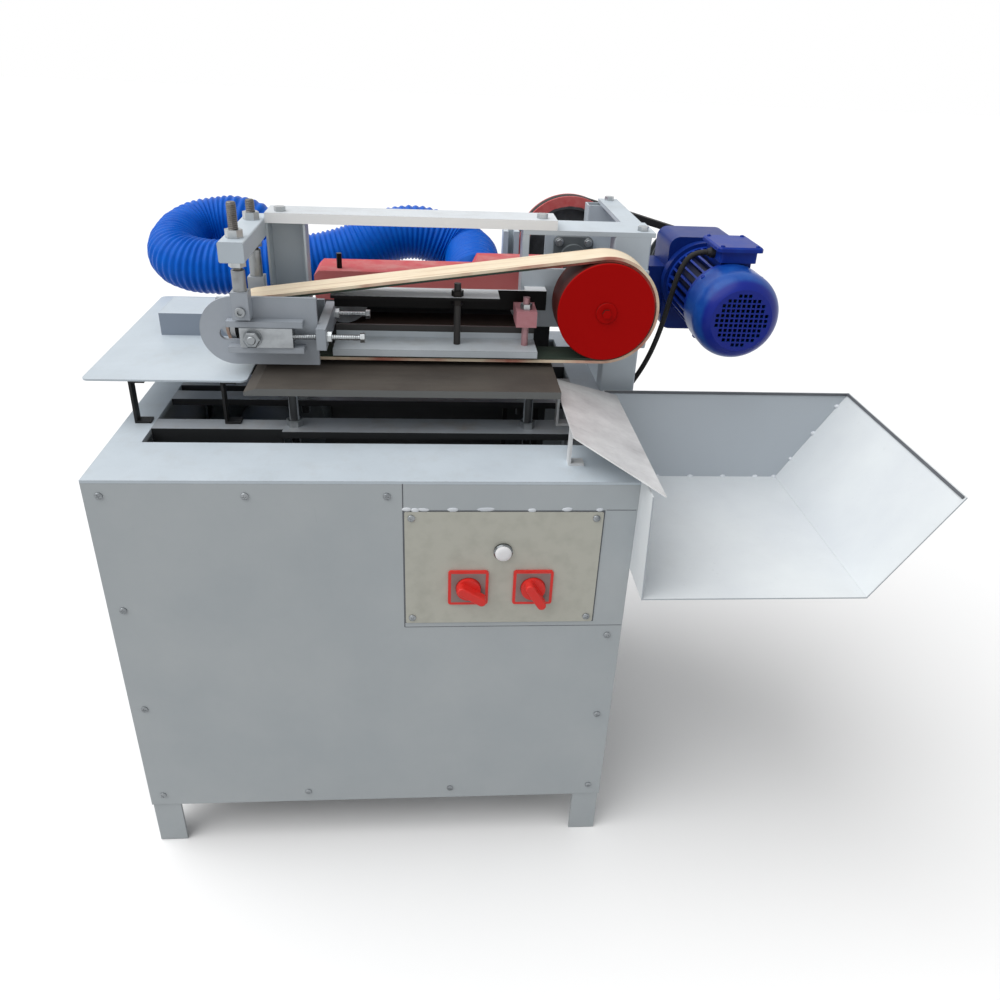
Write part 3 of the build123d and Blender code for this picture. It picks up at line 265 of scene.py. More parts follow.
def axisRadius(tree, place, centre):  # distance from a line that runs front to back
    fromAxis = {"Vector": place, "Location": (-centre.x, 0.0, -centre.z), "Scale": (1.0, 0.0, 1.0)}
    flat = addNode(tree, "Mapping", fromAxis)
    return addNode(tree, "VectorMath", {0: flat}, "Value", operation="LENGTH")


# Pale enamel sprayed on sheet steel: soft mottling, orange peel, upright scuffs, rubbed edges, dust on top
def greyEnamel(hexColour, darkHex, sheen, dirt):
    material, tree, place = startMaterial(IOR=1.5)
    mottling = patches(tree, place, size=170, detail=5.0, low=0.3, high=0.7, rough=0.6)
    upright = addNode(tree, "Mapping", {"Vector": place, "Scale": (1.0, 1.0, 0.12)})
    scuff = addNode(tree, "TexNoise", {
        "Vector": upright, "Scale": perMetre(9), "Detail": 8.0, "Roughness": 0.75})
    peel = addNode(tree, "TexNoise", {"Vector": place, "Scale": perMetre(3), "Detail": 2.0})
    baseCoat(material, colours=(mottling, hexColour, darkHex), gloss=(scuff, sheen - 0.08, sheen + 0.14),
             relief=(peel, 0.12, 0.4))
    scuffed = addNode(tree, "MapRange", {"Value": scuff, "From Min": 0.62, "From Max": 0.8, "To Max": 0.35})
    overpaint(material, scuffed, "#868c8e")
    lying = lookingShare(tree, "Z", 0.6, 0.95, dirt)
    dust = patches(tree, place, size=60, detail=8.0, low=0.5, high=0.75, rough=0.7)
    overpaint(material, addNode(tree, "Math", {0: lying, 1: dust}, operation="MULTIPLY"), "#8b7c68")
    return overpaint(material, rubbedEdges(tree, place, 2.5, 0.7), "#63686a")


# Enamel on a machined or cast piece: even colour, dust in patches, rubbed edges
def castEnamel(hexColour, dustHex, rubHex, roughness, dust, specular=0.2):
    material, tree, place = startMaterial(IOR=1.5, Specular_IOR_Level=specular)
    cloud = addNode(tree, "TexNoise", {
        "Vector": place, "Scale": perMetre(45), "Detail": 6.0, "Roughness": 0.65})
    dusty = addNode(tree, "MapRange", {"Value": cloud, "From Min": 0.42, "From Max": 0.8, "To Max": dust})
    skin = addNode(tree, "TexNoise", {"Vector": place, "Scale": perMetre(2.5), "Detail": 3.0})
    baseCoat(material, colours=(dusty, hexColour, dustHex), gloss=(cloud, roughness - 0.06, roughness + 0.18),
             relief=(skin, 0.15, 0.4))
    return overpaint(material, rubbedEdges(tree, place, 2.0, 0.6), rubHex)


# Drawn, milled or plated steel: fine lines along one axis, grey oil stains
def millSteel(hexColour, stainHex, lines, roughness, metallic=1.0):
    material, tree, place = startMaterial(Metallic=metallic)
    stretched = addNode(tree, "Mapping", {"Vector": place, "Scale": lines})
    grain = addNode(tree, "TexNoise", {"Vector": stretched, "Scale": perMetre(1.6), "Detail": 4.0})
    oil = patches(tree, place, size=30, detail=5.0, low=0.45, high=0.75, most=0.8)
    return baseCoat(material, colours=(oil, hexColour, stainHex),
                    gloss=(grain, roughness - 0.1, roughness + 0.15), relief=(grain, 0.2, 0.2))


# Moulded plastic or rubber: fine grain, slight fading
def moulded(hexColour, fadedHex, roughness, grainSize, specular=0.4):
    material, tree, place = startMaterial(IOR=1.46, Specular_IOR_Level=specular)
    fading = addNode(tree, "TexNoise", {"Vector": place, "Scale": perMetre(20), "Detail": 4.0})
    grain = addNode(tree, "TexNoise", {"Vector": place, "Scale": perMetre(grainSize), "Detail": 2.0})
    return baseCoat(material, colours=(fading, hexColour, fadedHex),
                    gloss=(grain, roughness - 0.06, roughness + 0.1), relief=(grain, 0.15, 0.2))


# Worn planed board: long grain along the feed direction, dark with resin on top, grey at its cut edges
def resinBoard():
    material, tree, place = startMaterial(IOR=1.45)
    along = addNode(tree, "Mapping", {"Vector": place, "Scale": (0.06, 1.0, 1.0)})
    grain = addNode(tree, "TexNoise", {
        "Vector": along, "Scale": perMetre(7), "Detail": 9.0, "Roughness": 0.7})
    baseCoat(material, colours=(grain, "#37332f", "#57514a"), gloss=(grain, 0.5, 0.72),
             relief=(grain, 0.35, 0.6))
    resin = patches(tree, place, size=90, detail=4.0, low=0.42, high=0.68, most=0.7)
    overpaint(material, resin, "#38332f")
    return overpaint(material, lookingShare(tree, "Z", 0.5, 0.2, 0.8), "#666867")


# Woven belting: cream cover with long brown fibres, red dust worn into its front edge, painted shade in brown
# on faces that look down
rimSet = {"none": 1.6, "full": 0.2}  # red dust, by millimetres behind the front edge


def wovenBelting():
    material, tree, place = startMaterial(IOR=1.48, Specular_IOR_Level=0.3)
    soil = addNode(tree, "TexNoise", {
        "Vector": place, "Scale": perMetre(40), "Detail": 6.0, "Roughness": 0.7})
    weave = addNode(tree, "TexWave", {"Vector": place, "Scale": perMetre(14), "Distortion": 1.5},
                    bands_direction="DIAGONAL")  # coarser than the real cloth, so that it shows
    baseCoat(material, colours=(soil, "#f2e6cf", "#dcc9ac"), gloss=(soil, 0.65, 0.85),
             relief=(weave, 0.25, 0.3))
    along = addNode(tree, "Mapping", {"Vector": place, "Scale": (0.02, 1.0, 0.3)})
    fibres = patches(tree, along, size=9, detail=4.0, low=0.5, high=0.72, most=0.5)
    overpaint(material, fibres, "#bb9a7c")
    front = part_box("feed_belt")[0].y
    depth = addNode(tree, "SeparateXYZ", {"Vector": place}, "Y")
    rim = addNode(tree, "MapRange", {
        "Value": depth, "From Min": front + rimSet["none"] / 1000, "From Max": front + rimSet["full"] / 1000})
    redDust = patches(tree, place, size=70, detail=3.0, low=0.4, high=0.66, most=0.8)
    overpaint(material, addNode(tree, "Math", {0: rim, 1: redDust}, operation="MULTIPLY"), "#b0473f")
    # faces that look down painted brown: painted shade under the belt's runs
    return overpaint(material, lookingShare(tree, "Z", -0.5, -0.9, 0.75), "#7d6a50")


# Green rubber backing of the belting, with red paint rubbed off the wheel on its upper run
rubSet = {"X": (-140, -40), "Z": (-20, 20)}  # from none to full, by millimetres from the wheel's middle


def backingRubber():
    material = moulded("#24352c", "#3a4238", 0.7, 2.0)
    tree = material.node_tree
    place = addNode(tree, "TexCoord", output="Object")
    wheel = middleOf("drive_wheel")
    share = patches(tree, place, size=25, detail=4.0, low=0.25, high=0.55, most=0.9)
    for axis, reach in rubSet.items():
        none, full = (wheel["XYZ".index(axis)] + offset / 1000 for offset in reach)
        along = addNode(tree, "SeparateXYZ", {"Vector": place}, axis)
        near = addNode(tree, "MapRange", {"Value": along, "From Min": none, "From Max": full})
        share = addNode(tree, "Math", {0: near, 1: share}, operation="MULTIPLY")
    return overpaint(material, share, "#b5554a")


# Blue enamel of the motor's frame, painted near black down between its fins as painted shade, whose radii are
# in millimetres
def finnedEnamel(tip, root):
    material = castEnamel(*motorBlue, 0.34, 0.4, 0.16)
    tree = material.node_tree
    radius = axisRadius(tree, addNode(tree, "TexCoord", output="Object"), middleOf("motor_fan_cover"))
    # painted shade: near black from the fins' tips down to their roots
    finShade = addNode(tree, "MapRange", {
        "Value": radius, "From Min": tip / 1000, "From Max": root / 1000, "To Max": 0.92})
    return overpaint(material, finShade, "#03061a")


# Cast pulley: red brushed on from one radius to another with a ragged edge, bare dark iron inside that
def redRimmedIron(inner, outer, ragged):
    material, tree, place = startMaterial(IOR=1.5, Specular_IOR_Level=0.25)
    blotch = addNode(tree, "TexNoise", {"Vector": place, "Scale": perMetre(14), "Detail": 5.0})
    grain = addNode(tree, "TexNoise", {"Vector": place, "Scale": perMetre(2), "Detail": 3.0})
    baseCoat(material, colours=(blotch, "#2b2c2e", "#55575a"), gloss=(grain, 0.4, 0.65),
             relief=(grain, 0.3, 0.5))
    radius = axisRadius(tree, place, middleOf("rear_pulley"))
    edge = addNode(tree, "Math", {0: blotch, 1: ragged / 1000, 2: radius}, operation="MULTIPLY_ADD")
    rim = addNode(tree, "MapRange", {"Value": edge, "From Min": inner / 1000, "From Max": outer / 1000})
    paint = addNode(tree, "Mix", {0: blotch, 6: linear("#bb3a3c"), 7: linear("#cf7a78")}, data_type="RGBA")
    return overpaint(material, rim, paint)


# Enamel whose front-facing faces take another colour, used below for painted light and painted shade
def tonedFront(material, hexColour, most):
    return overpaint(material, lookingShare(material.node_tree, "Y", -0.55, -0.68, most), hexColour)


# Fixings or sheet darkened to near black within a reach of one place along an axis; by the left shoe stud this
# is painted shade
def darkenedNear(material, axis, middle, reach):
    tree = material.node_tree
    place = addNode(tree, "TexCoord", output="Object")
    along = addNode(tree, "SeparateXYZ", {"Vector": place}, axis)
    near = addNode(tree, "Math", {0: along, 1: middle, 2: reach / 1000}, operation="COMPARE")
    return overpaint(material, near, "#262423")


# Bare steel sheet that sticks slide down: neutral grey, grimy in patches, scratched across at a slant
def chuteSheet():
    material, tree, place = startMaterial(Metallic=0.2)
    grime = patches(tree, place, size=80, detail=6.0, low=0.35, high=0.7, rough=0.65)
    slant = addNode(tree, "Mapping", {
        "Vector": place, "Rotation": (0, 0, math.radians(35)), "Scale": (0.1, 1.0, 1.0)})
    scratch = addNode(tree, "TexNoise", {
        "Vector": slant, "Scale": perMetre(11), "Detail": 7.0, "Roughness": 0.7})
    baseCoat(material, colours=(grime, "#dcdddd", "#bcbcbd"), gloss=(scratch, 0.4, 0.6),
             relief=(scratch, 0.2, 0.3))
    share = addNode(tree, "MapRange", {"Value": scratch, "From Min": 0.6, "From Max": 0.74, "To Max": 0.45})
    return overpaint(material, share, "#8c8b8a")


# Bracket in near-white enamel, paler than its paint, as painted light on its flange top; matt black on its
# web's front as painted shade; its guide block was brushed with faded red primer
guideSet = {"studRadius": 6, "height": 28.5, "reach": 19}


def primedBracket():
    # near-white base colour: painted light
    material = greyEnamel("#f0f2f4", "#e0e4e8", 0.42, 0.1)
    shaderOf(material).inputs["Specular IOR Level"].default_value = 0.1
    tree = material.node_tree
    place = addNode(tree, "TexCoord", output="Object")
    across = addNode(tree, "SeparateXYZ", {"Vector": place}, "X")
    height = addNode(tree, "SeparateXYZ", {"Vector": place}, "Z")
    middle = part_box("shoe_studs")[1].x - guideSet["studRadius"] / 1000
    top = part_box("shoe_carrier")[0].z + guideSet["height"] / 1000
    reach = addNode(tree, "Math", {0: across, 1: middle, 2: guideSet["reach"] / 1000}, operation="COMPARE")
    low = addNode(tree, "Math", {0: height, 1: top}, operation="LESS_THAN")
    block = addNode(tree, "Math", {0: reach, 1: low}, operation="MULTIPLY")
    # front of the web: painted shade in matt black
    web = lookingShare(tree, "Y", -0.5, -0.9)
    webShade = addNode(tree, "Math", {0: web, 1: block}, operation="SUBTRACT", use_clamp=True)
    overpaint(material, webShade, "#0b0a0a")
    brush = addNode(tree, "TexNoise", {"Vector": place, "Scale": perMetre(9), "Detail": 4.0})
    primer = addNode(tree, "Mix", {0: brush, 6: linear("#c48f96"), 7: linear("#b5767c")}, data_type="RGBA")
    return overpaint(material, block, primer)


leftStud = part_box("shoe_studs")[0].x + guideSet["studRadius"] / 1000
hoodPin = spot(346, 0, 0).x
motorBlue = ("#0b2a86", "#1c4aa6", "#1d2c66")
cabinetGrey = ("#afb5b8", "#a7aeb2")
deckGrey = ("#c0cad2", "#b5bfc7")
zinc = ("#b4b8ba", "#85888b")
plainGrain = (1.0, 1.0, 1.0)
uprightGrain = (1.0, 1.0, 0.08)
finishes = {
    "cabinetEnamel": greyEnamel(*cabinetGrey, 0.46, 0.3),
    # front-facing faces, the inside of the back panel among them, near black: painted shade inside the cabinet
    "panelEnamel": tonedFront(greyEnamel(*cabinetGrey, 0.46, 0.3), "#17181a", 0.95),
    "topEnamel": greyEnamel(*deckGrey, 0.44, 0.14),
    "fenceEnamel": tonedFront(greyEnamel(*deckGrey, 0.44, 0.14), "#828c9a", 0.95),
    # the beam's front faces near white: painted light
    "beamEnamel": tonedFront(greyEnamel("#d3d8dc", "#c6ccd1", 0.42, 0.2), "#f6f8fa", 0.85),
    # front-facing faces darker, the back wall's inside among them: painted shade
    "trayEnamel": tonedFront(greyEnamel("#dadfe1", "#d0d5d9", 0.4, 0.04), "#a2aab2", 0.85),
    "chuteSheet": chuteSheet(),
    "idlerEnamel": greyEnamel("#a8aeb6", "#989fa7", 0.4, 0.1),
    # front faces near black: painted shade under the table
    "plateEnamel": tonedFront(greyEnamel("#a4aab0", "#90969c", 0.4, 0.5), "#101112", 0.95),
    "shoeEnamel": darkenedNear(greyEnamel("#c6ced4", "#b3bbc1", 0.44, 0.3), "Z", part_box("press_shoe")[1].z, 11),
    "weldMetal": greyEnamel("#dfe3e8", "#c4cad1", 0.3, 0.0),
    "primedBracket": primedBracket(),
    # dark grey of the tray's hem and of the strip round the control plate: painted shadow lines
    "shadowLineGrey": castEnamel("#5a5d62", "#74777b", "#85888c", 0.5, 0.4),
    "blueEnamel": castEnamel(*motorBlue, 0.34, 0.4, 0.16),
    "finnedEnamel": finnedEnamel(73, 66),
    "gearboxEnamel": castEnamel("#0a2470", "#163f86", "#1d2c66", 0.34, 0.5, 0.16),
    # the fan cover's flat front a darker navy: painted shade
    "fanCoverEnamel": tonedFront(
        castEnamel("#083a8c", "#2a6cbe", "#1e387c", 0.26, 0.5, 0.22), "#051a80", 0.94),
    # red on the front only; the rim dark red-brown as painted shade
    "wheelRed": tonedFront(castEnamel("#52211c", "#3c211d", "#601010", 0.45, 0.6, 0.06), "#aa0303", 0.94),
    # the hood's front paler pink: painted light
    "hoodRed": tonedFront(castEnamel("#c4555a", "#c99a94", "#94625c", 0.6, 0.8, 0.2), "#f48c8a", 0.85),
    "blackEnamel": castEnamel("#1c1d1f", "#3b3a38", "#55534f", 0.45, 0.5),
    "castGrey": castEnamel("#5c6265", "#74797b", "#8a8d8f", 0.55, 0.6),
    "redRimmedIron": redRimmedIron(93.5, 95, 6),
    "drawnSteel": millSteel("#8d9092", "#5b5653", uprightGrain, 0.4),
    # the left stud near black: painted shade
    "primedStud": darkenedNear(millSteel("#b58b90", "#8a5f64", uprightGrain, 0.45, 0.3), "X", leftStud, 16),
    "oiledThread": millSteel("#6b6865", "#3c3835", plainGrain, 0.38),
    "nutSteel": millSteel("#8f9396", "#5f6367", plainGrain, 0.36),
    "groundSteel": millSteel("#a5a9ac", "#7c7f82", (0.08, 1.0, 1.0), 0.42),
    "zincPlate": millSteel(*zinc, plainGrain, 0.34),
    # the nuts by the left stud near black: painted shade
    "zincNuts": darkenedNear(millSteel(*zinc, plainGrain, 0.34), "X", leftStud, 16),
    "zincBolts": darkenedNear(millSteel(*zinc, plainGrain, 0.34), "X", hoodPin, 8),
    "turnedAluminium": millSteel("#a8abad", "#7e8183", (1.0, 0.1, 1.0), 0.4),
    "brushedPanel": millSteel("#b3b3a9", "#a5a59b", (0.05, 1.0, 1.0), 0.5, 0.15),
    "chromeBezel": millSteel("#75787a", "#55585a", plainGrain, 0.2),
    "insetGrey": moulded("#94827e", "#7d6a67", 0.5, 2.0),
    "switchRed": moulded("#e02420", "#d43a32", 0.34, 1.2),
    "blackPlastic": moulded("#1b1b1d", "#2a2a2c", 0.5, 1.0),
    "blackRubber": moulded("#161616", "#262524", 0.7, 1.5),
    "lampWhite": moulded("#f1f1f1", "#e6e6ea", 0.3, 2.0),
    "wovenBelting": wovenBelting(),
    "backingRubber": backingRubber(),
    "abrasiveCloth": moulded("#3a2a22", "#2b201b", 0.9, 0.8),
    "hoseBlue": moulded("#004bb0", "#0064cc", 0.36, 3.0, 0.13),
    "resinBoard": resinBoard(),
}
for finish, material in finishes.items():
    material.name = finish
dressing = {
    "cabinetEnamel": ["cabinet_frame", "front_panel"],
    "panelEnamel": ["side_panels"],
    "fenceEnamel": ["feed_fence"],
    "topEnamel": ["top_deck", "feed_table", "left_post", "cross_arm", "tower_frame", "motor_bracket",
                  "bearing_plates"],
    "shoeEnamel": ["press_shoe"],
    "beamEnamel": ["top_beam"],
    "trayEnamel": ["collecting_tray"],
    "chuteSheet": ["chute"],
    "idlerEnamel": ["idler_side_plates"],
    "plateEnamel": ["support_rails", "bed_base"],
    "primedBracket": ["shoe_carrier"],
    "finnedEnamel": ["gear_motor"],
    "blueEnamel": ["terminal_box"],
    "gearboxEnamel": ["gearbox"],
    "fanCoverEnamel": ["motor_fan_cover"],
    "wheelRed": ["drive_wheel"],
    "redRimmedIron": ["rear_pulley"],
    "hoodRed": ["grinder_hood"],
    "blackEnamel": ["feed_table_legs", "grinder_plate"],
    "castGrey": ["feed_bearings", "output_pulley", "grinding_motor", "motor_pulley", "dust_fan"],
    "drawnSteel": ["hanger_rods", "feed_shaft", "idler_axle"],
    "primedStud": ["shoe_studs"],
    "groundSteel": ["tension_blocks"],
    "zincPlate": ["panel_screws", "push_screws"],
    "zincNuts": ["adjusting_nuts"],
    "zincBolts": ["frame_bolts"],
    "turnedAluminium": ["idler_pulley", "abrasive_drive_wheel", "abrasive_idler_wheel"],
    "brushedPanel": ["control_plate"],
    "chromeBezel": ["lamp_bezel"],
    "lampWhite": ["lamp_lens"],
    "switchRed": ["switch_plates", "switch_knob_left", "switch_knob_right"],
    "blackPlastic": ["switch_bodies", "cable_glands"],
    "blackRubber": ["feed_v_belt", "grinder_v_belt", "motor_cable"],
    "wovenBelting": ["feed_belt"],
    "abrasiveCloth": ["abrasive_belt"],
    "hoseBlue": ["dust_hose"],
    "resinBoard": ["bed_board"],
}
for finish, members in dressing.items():
    for member in members:
        nodes[member].data.materials.clear()
        nodes[member].data.materials.append(finishes[finish])
print("materials on", sum(len(members) for members in dressing.values()), "nodes")

cameraSet = {"place": (523.2, -1154.5, 1399.6), "turn": (60.90, -2.316, -3.96), "lens": 30.56, "sensor": 36}
cameraTurn = [math.radians(angle) for angle in cameraSet["turn"]]
bpy.ops.object.camera_add(location=spot(*cameraSet["place"]), rotation=cameraTurn)
camera = bpy.context.object
camera.data.lens = cameraSet["lens"]
camera.data.sensor_width = cameraSet["sensor"]
bpy.context.scene.camera = camera
print("camera set")


def routeSpline(name, route):  # smooth line through the route's control points
    curve = bpy.data.curves.new(name, "CURVE")
    curve.dimensions = "3D"
    spline = curve.splines.new("NURBS")
    spline.points.add(len(route) - 1)
    for point, place in zip(spline.points, route):
        point.co = (*spot(*place), 1.0)
    spline.order_u = 3
    spline.use_endpoint_u = True
    spline.resolution_u = 16
    piece = bpy.data.objects.new(name, curve)
    bpy.context.scene.collection.objects.link(piece)
    return piece


cableSet = {
    "diameter": 10, "length": 0.395,
    "route": [(1040, 440, 1045.5), (1012, 440, 1045.5), (992, 440, 1010), (983, 440, 966), (976, 441, 921),
              (967, 442, 877), (954, 445, 832), (934, 450, 786), (900, 458, 727), (864, 458, 727)],
}


def motorCable():
    cable = routeSpline("motorCable", cableSet["route"])
    cable.data.bevel_depth = cableSet["diameter"] / 2000
    cable.data.bevel_resolution = 6
    cable.data.materials.append(finishes["blackRubber"])
    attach(cable, "machine")
    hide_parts("motor_cable")


hoseSet = {
    "crest": 60, "finShade": 55.6, "pitch": 12, "around": 56, "perRib": 8, "lowestRib": 0.7, "ribShape": 0.7,
    "route": [(612, 580, 942), (612, 720, 942), (612, 848, 942), (462, 850, 1000), (300, 800, 918),
              (-61, 764, 905), (-61, 978, 962), (156, 978, 976), (156, 978, 590), (156, 850, 590),
              (156, 750, 590)],
}


def hosePath():
    line = routeSpline("hoseLine", hoseSet["route"])
    mesh = bpy.data.meshes.new_from_object(line)
    points = [vertex.co.copy() for vertex in mesh.vertices]
    bpy.data.objects.remove(line)
    bpy.data.meshes.remove(mesh)
    return points


def dustHose():  # a tube of rings along the path, whose ribs run round it as a helix
    points = hosePath()
    reach = [0.0]
    for before, after in zip(points, points[1:]):
        reach.append(reach[-1] + (after - before).length)
    total = reach[-1]
    stations = int(total * 1000 / hoseSet["pitch"] * hoseSet["perRib"])
    around = hoseSet["around"]
    ribCount = int(total * 1000 / hoseSet["pitch"]) + 2
    ribHeights = [dice.uniform(hoseSet["lowestRib"], 1.0) for i in range(ribCount)]
    rings = []
    faces = []
    side = Vector((0, 0, 1))
    segment = 0
    for i in range(stations + 1):
        run = total * i / stations
        while segment < len(points) - 2 and reach[segment + 1] < run:
            segment += 1
        share = (run - reach[segment]) / (reach[segment + 1] - reach[segment])
        middle = points[segment].lerp(points[segment + 1], share)
        first = points[segment + 1] - points[max(segment - 1, 0)]
        second = points[min(segment + 2, len(points) - 1)] - points[segment]
        along = first.normalized().lerp(second.normalized(), share).normalized()
        side = (side - along * side.dot(along)).normalized()
        other = along.cross(side)
        for j in range(around):
            angle = 2 * math.pi * j / around
            turn = run * 1000 / hoseSet["pitch"] + j / around
            wave = (0.5 - 0.5 * math.cos(2 * math.pi * turn)) ** hoseSet["ribShape"] * ribHeights[int(turn)]
            radius = (hoseSet["finShade"] + (hoseSet["crest"] - hoseSet["finShade"]) * wave) / 1000
            rings.append(middle + (side * math.cos(angle) + other * math.sin(angle)) * radius)
        if i:
            low = (i - 1) * around
            for j in range(around):
                right = (j + 1) % around
                faces.append((low + j, low + right, low + around + right, low + around + j))
    faces.append(tuple(reversed(range(around))))
    faces.append(tuple(range(stations * around, (stations + 1) * around)))
    mesh = bpy.data.meshes.new("dustHose")
    mesh.from_pydata(rings, [], faces)
    mesh.polygons.foreach_set("use_smooth", [True] * len(mesh.polygons))
    hose = bpy.data.objects.new("dustHose", mesh)
    bpy.context.scene.collection.objects.link(hose)
    hose.data.materials.append(finishes["hoseBlue"])
    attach(hose, "machine")
    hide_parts("dust_hose")
    print("hose length", round(total, 3))


motorCable()
dustHose()
print("cords laid")

# Feed belt in two plies, each a hull round wheel and idler with its sides cut off and a thickness given
beltSet = {"cover": 5.0, "backing": 4.0, "backingInset": 1.2, "facets": 128, "wheelEnd": 0.1, "idlerEnd": 0.9}


def beltPly(name, inward, thickness, inset, finish):
    low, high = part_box("feed_belt")
    middleY = (low.y + high.y) / 2
    depth = high.y - low.y - 2 * inset / 1000
    drums = []
    for node in ("drive_wheel", "idler_pulley"):
        centre = middleOf(node)
        deselectAll()
        bpy.ops.mesh.primitive_cylinder_add(
            vertices=beltSet["facets"], radius=centre.z - low.z - inward / 1000, depth=depth,
            location=(centre.x, middleY, centre.z), rotation=(math.pi / 2, 0, 0))
        drums.append(bpy.context.object)
    ply = joinPieces(drums)
    bpy.ops.object.mode_set(mode="EDIT")
    bpy.ops.mesh.select_all(action="SELECT")
    bpy.ops.mesh.convex_hull()
    bpy.ops.object.mode_set(mode="OBJECT")
    pickFaces(ply, lambda face: abs(face.normal.y) > 0.5)
    bpy.ops.mesh.delete(type="FACE")
    deselectAll()
    applyModifier(ply, "SOLIDIFY", thickness=thickness / 1000, offset=-1.0, use_even_offset=True)
    smooth(ply, 30)
    nameAndPaint(ply, name, finish)
    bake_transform(ply)
    return ply


cover = beltPly("feedBeltCover", 0.0, beltSet["cover"], 0.0, "wovenBelting")
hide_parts("feed_belt")
beltPly("feedBeltBacking", beltSet["cover"], beltSet["backing"], beltSet["backingInset"], "backingRubber")
print("feed belt plied")

# Pan-head screws with a cross recess: the panel's where the CAD heads are, smaller ones on the motor
screwSet = {"radius": 6.0, "rim": 1.6, "crown": 3.5, "crownSteps": ((0.8, 0.9), (1.6, 0.7), (1.4, 0.3)),
            "slot": (7.0, 1.5, 1.5), "reach": 14}
motorScrewSet = {"scale": 0.7, "lidInset": 10, "coverBack": 7, "coverCount": 4, "sunk": 0.3}


def screwHead():
    head = raiseSteps(cylinder(20, screwSet["radius"] / 1000, screwSet["rim"] / 1000), screwSet["crownSteps"])
    size = [length / 1000 for length in screwSet["slot"]]
    middle = (0, 0, screwSet["crown"] / 1000)
    blades = [cuboid(size, middle, rotation=(0, 0, turn)) for turn in (0, math.pi / 2)]
    cutBy(head, joinPieces(blades))
    smooth(head, 35)
    return head


def headPlaces(node):  # middle of each head's seat and the way it looks
    groups = []
    for vertex in nodes[node].data.vertices:
        for group in groups:
            if (group[0] - vertex.co).length < screwSet["reach"] / 1000:
                group.append(vertex.co)
                break
        else:
            groups.append([vertex.co])
    cabinetMiddle = middleOf("cabinet_frame")
    places = []
    for group in groups:
        low = Vector([min(point[i] for point in group) for i in range(3)])
        high = Vector([max(point[i] for point in group) for i in range(3)])
        axis = min(range(3), key=lambda i: high[i] - low[i])
        outward = Vector((0, 0, 0))
        outward[axis] = 1.0 if low[axis] > cabinetMiddle[axis] else -1.0
        seat = (low + high) / 2
        seat[axis] = low[axis] if outward[axis] > 0 else high[axis]
        places.append((seat, outward))
    return places


def panelScrews():
    places = [facing(seat, outward) @ Matrix.Rotation(dice.uniform(0, math.pi), 4, "Z")
              for seat, outward in headPlaces("panel_screws")]
    screws = copiesAt(screwHead(), places)
    finishPiece(screws, "panScrews", "nutSteel", "machine")
    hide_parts("panel_screws")
    print("pan screws", len(places))


def motorScrews():
    small = Matrix.Scale(motorScrewSet["scale"], 4)
    low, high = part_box("terminal_box")
    inset = motorScrewSet["lidInset"] / 1000
    places = []
    for x in (low.x + inset, high.x - inset):
        for y in (low.y + inset, high.y - inset):
            places.append(facing(Vector((x, y, high.z)), Vector((0, 0, 1))) @ small)
    low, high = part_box("motor_fan_cover")
    axis = (low + high) / 2
    back = Vector((axis.x, high.y - motorScrewSet["coverBack"] / 1000, axis.z))
    radius = (high.z - low.z) / 2 - motorScrewSet["sunk"] / 1000
    for i in range(motorScrewSet["coverCount"]):
        angle = 2 * math.pi * (i + 0.5) / motorScrewSet["coverCount"]
        outward = Vector((math.cos(angle), 0, math.sin(angle)))
        places.append(facing(back + outward * radius, outward) @ small)
    finishPiece(copiesAt(screwHead(), places), "motorScrews", "blueEnamel", "machine")


panelScrews()
motorScrews()

# Hex bolts on a washer that hold the flange bearings and the gearbox cover
boltSet = {
    "radius": 7, "height": 5, "crownSteps": ((0.9, 0.5),),
    "washer": 9, "washerThickness": 1.2, "washerRound": 0.3,
    "bearingReach": 31, "behindNose": 11, "plateDepth": 20, "coverReach": 47, "coverCount": 6,
}


def hexBolt():
    thickness = boltSet["washerThickness"] / 1000
    head = cylinder(6, boltSet["radius"] / 1000, boltSet["height"] / 1000, thickness)
    raiseSteps(head, boltSet["crownSteps"])
    washer = cylinder(24, boltSet["washer"] / 1000, thickness)
    bevel(washer, boltSet["washerRound"], 1)
    return joinPieces([head, washer])


def bearingBolts():
    wheel = middleOf("drive_wheel")
    reach = boltSet["bearingReach"] / 1000
    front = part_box("feed_bearings")[0].y + boltSet["behindNose"] / 1000
    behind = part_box("bearing_plates")[1].y - boltSet["plateDepth"] / 1000
    places = []
    for y in (front, behind):
        for x in (wheel.x - reach, wheel.x + reach):
            for z in (wheel.z - reach, wheel.z + reach):
                places.append(facing(Vector((x, y, z)), toFront))
    shaft = middleOf("output_pulley")
    shaft.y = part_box("gearbox")[1].y
    for i in range(boltSet["coverCount"]):
        angle = 2 * math.pi * i / boltSet["coverCount"]
        spoke = Vector((math.cos(angle), 0, math.sin(angle))) * (boltSet["coverReach"] / 1000)
        places.append(facing(shaft + spoke, -toFront))
    finishPiece(copiesAt(hexBolt(), places), "bearingBolts", "zincPlate", "machine")


bearingBolts()
print("bolts set")

# Threads, coarser than the real ones so that they show
threadSet = {
    "pitch": 3.0, "depth": 1.1, "steps": 20, "crest": 0.42, "foot": 0.84,
    "coreProud": 0.3, "tip": 1.5, "tipShare": 0.82,
}
hangerSet = {"radius": 8, "tops": (1150, 1129), "feet": (967, 955), "shoulderDrop": 18, "round": 1.2}
pushSet = {"radius": 5, "lines": (233.7, 367.3), "headRadius": 8.5, "headLength": 8, "headRound": 0.9}


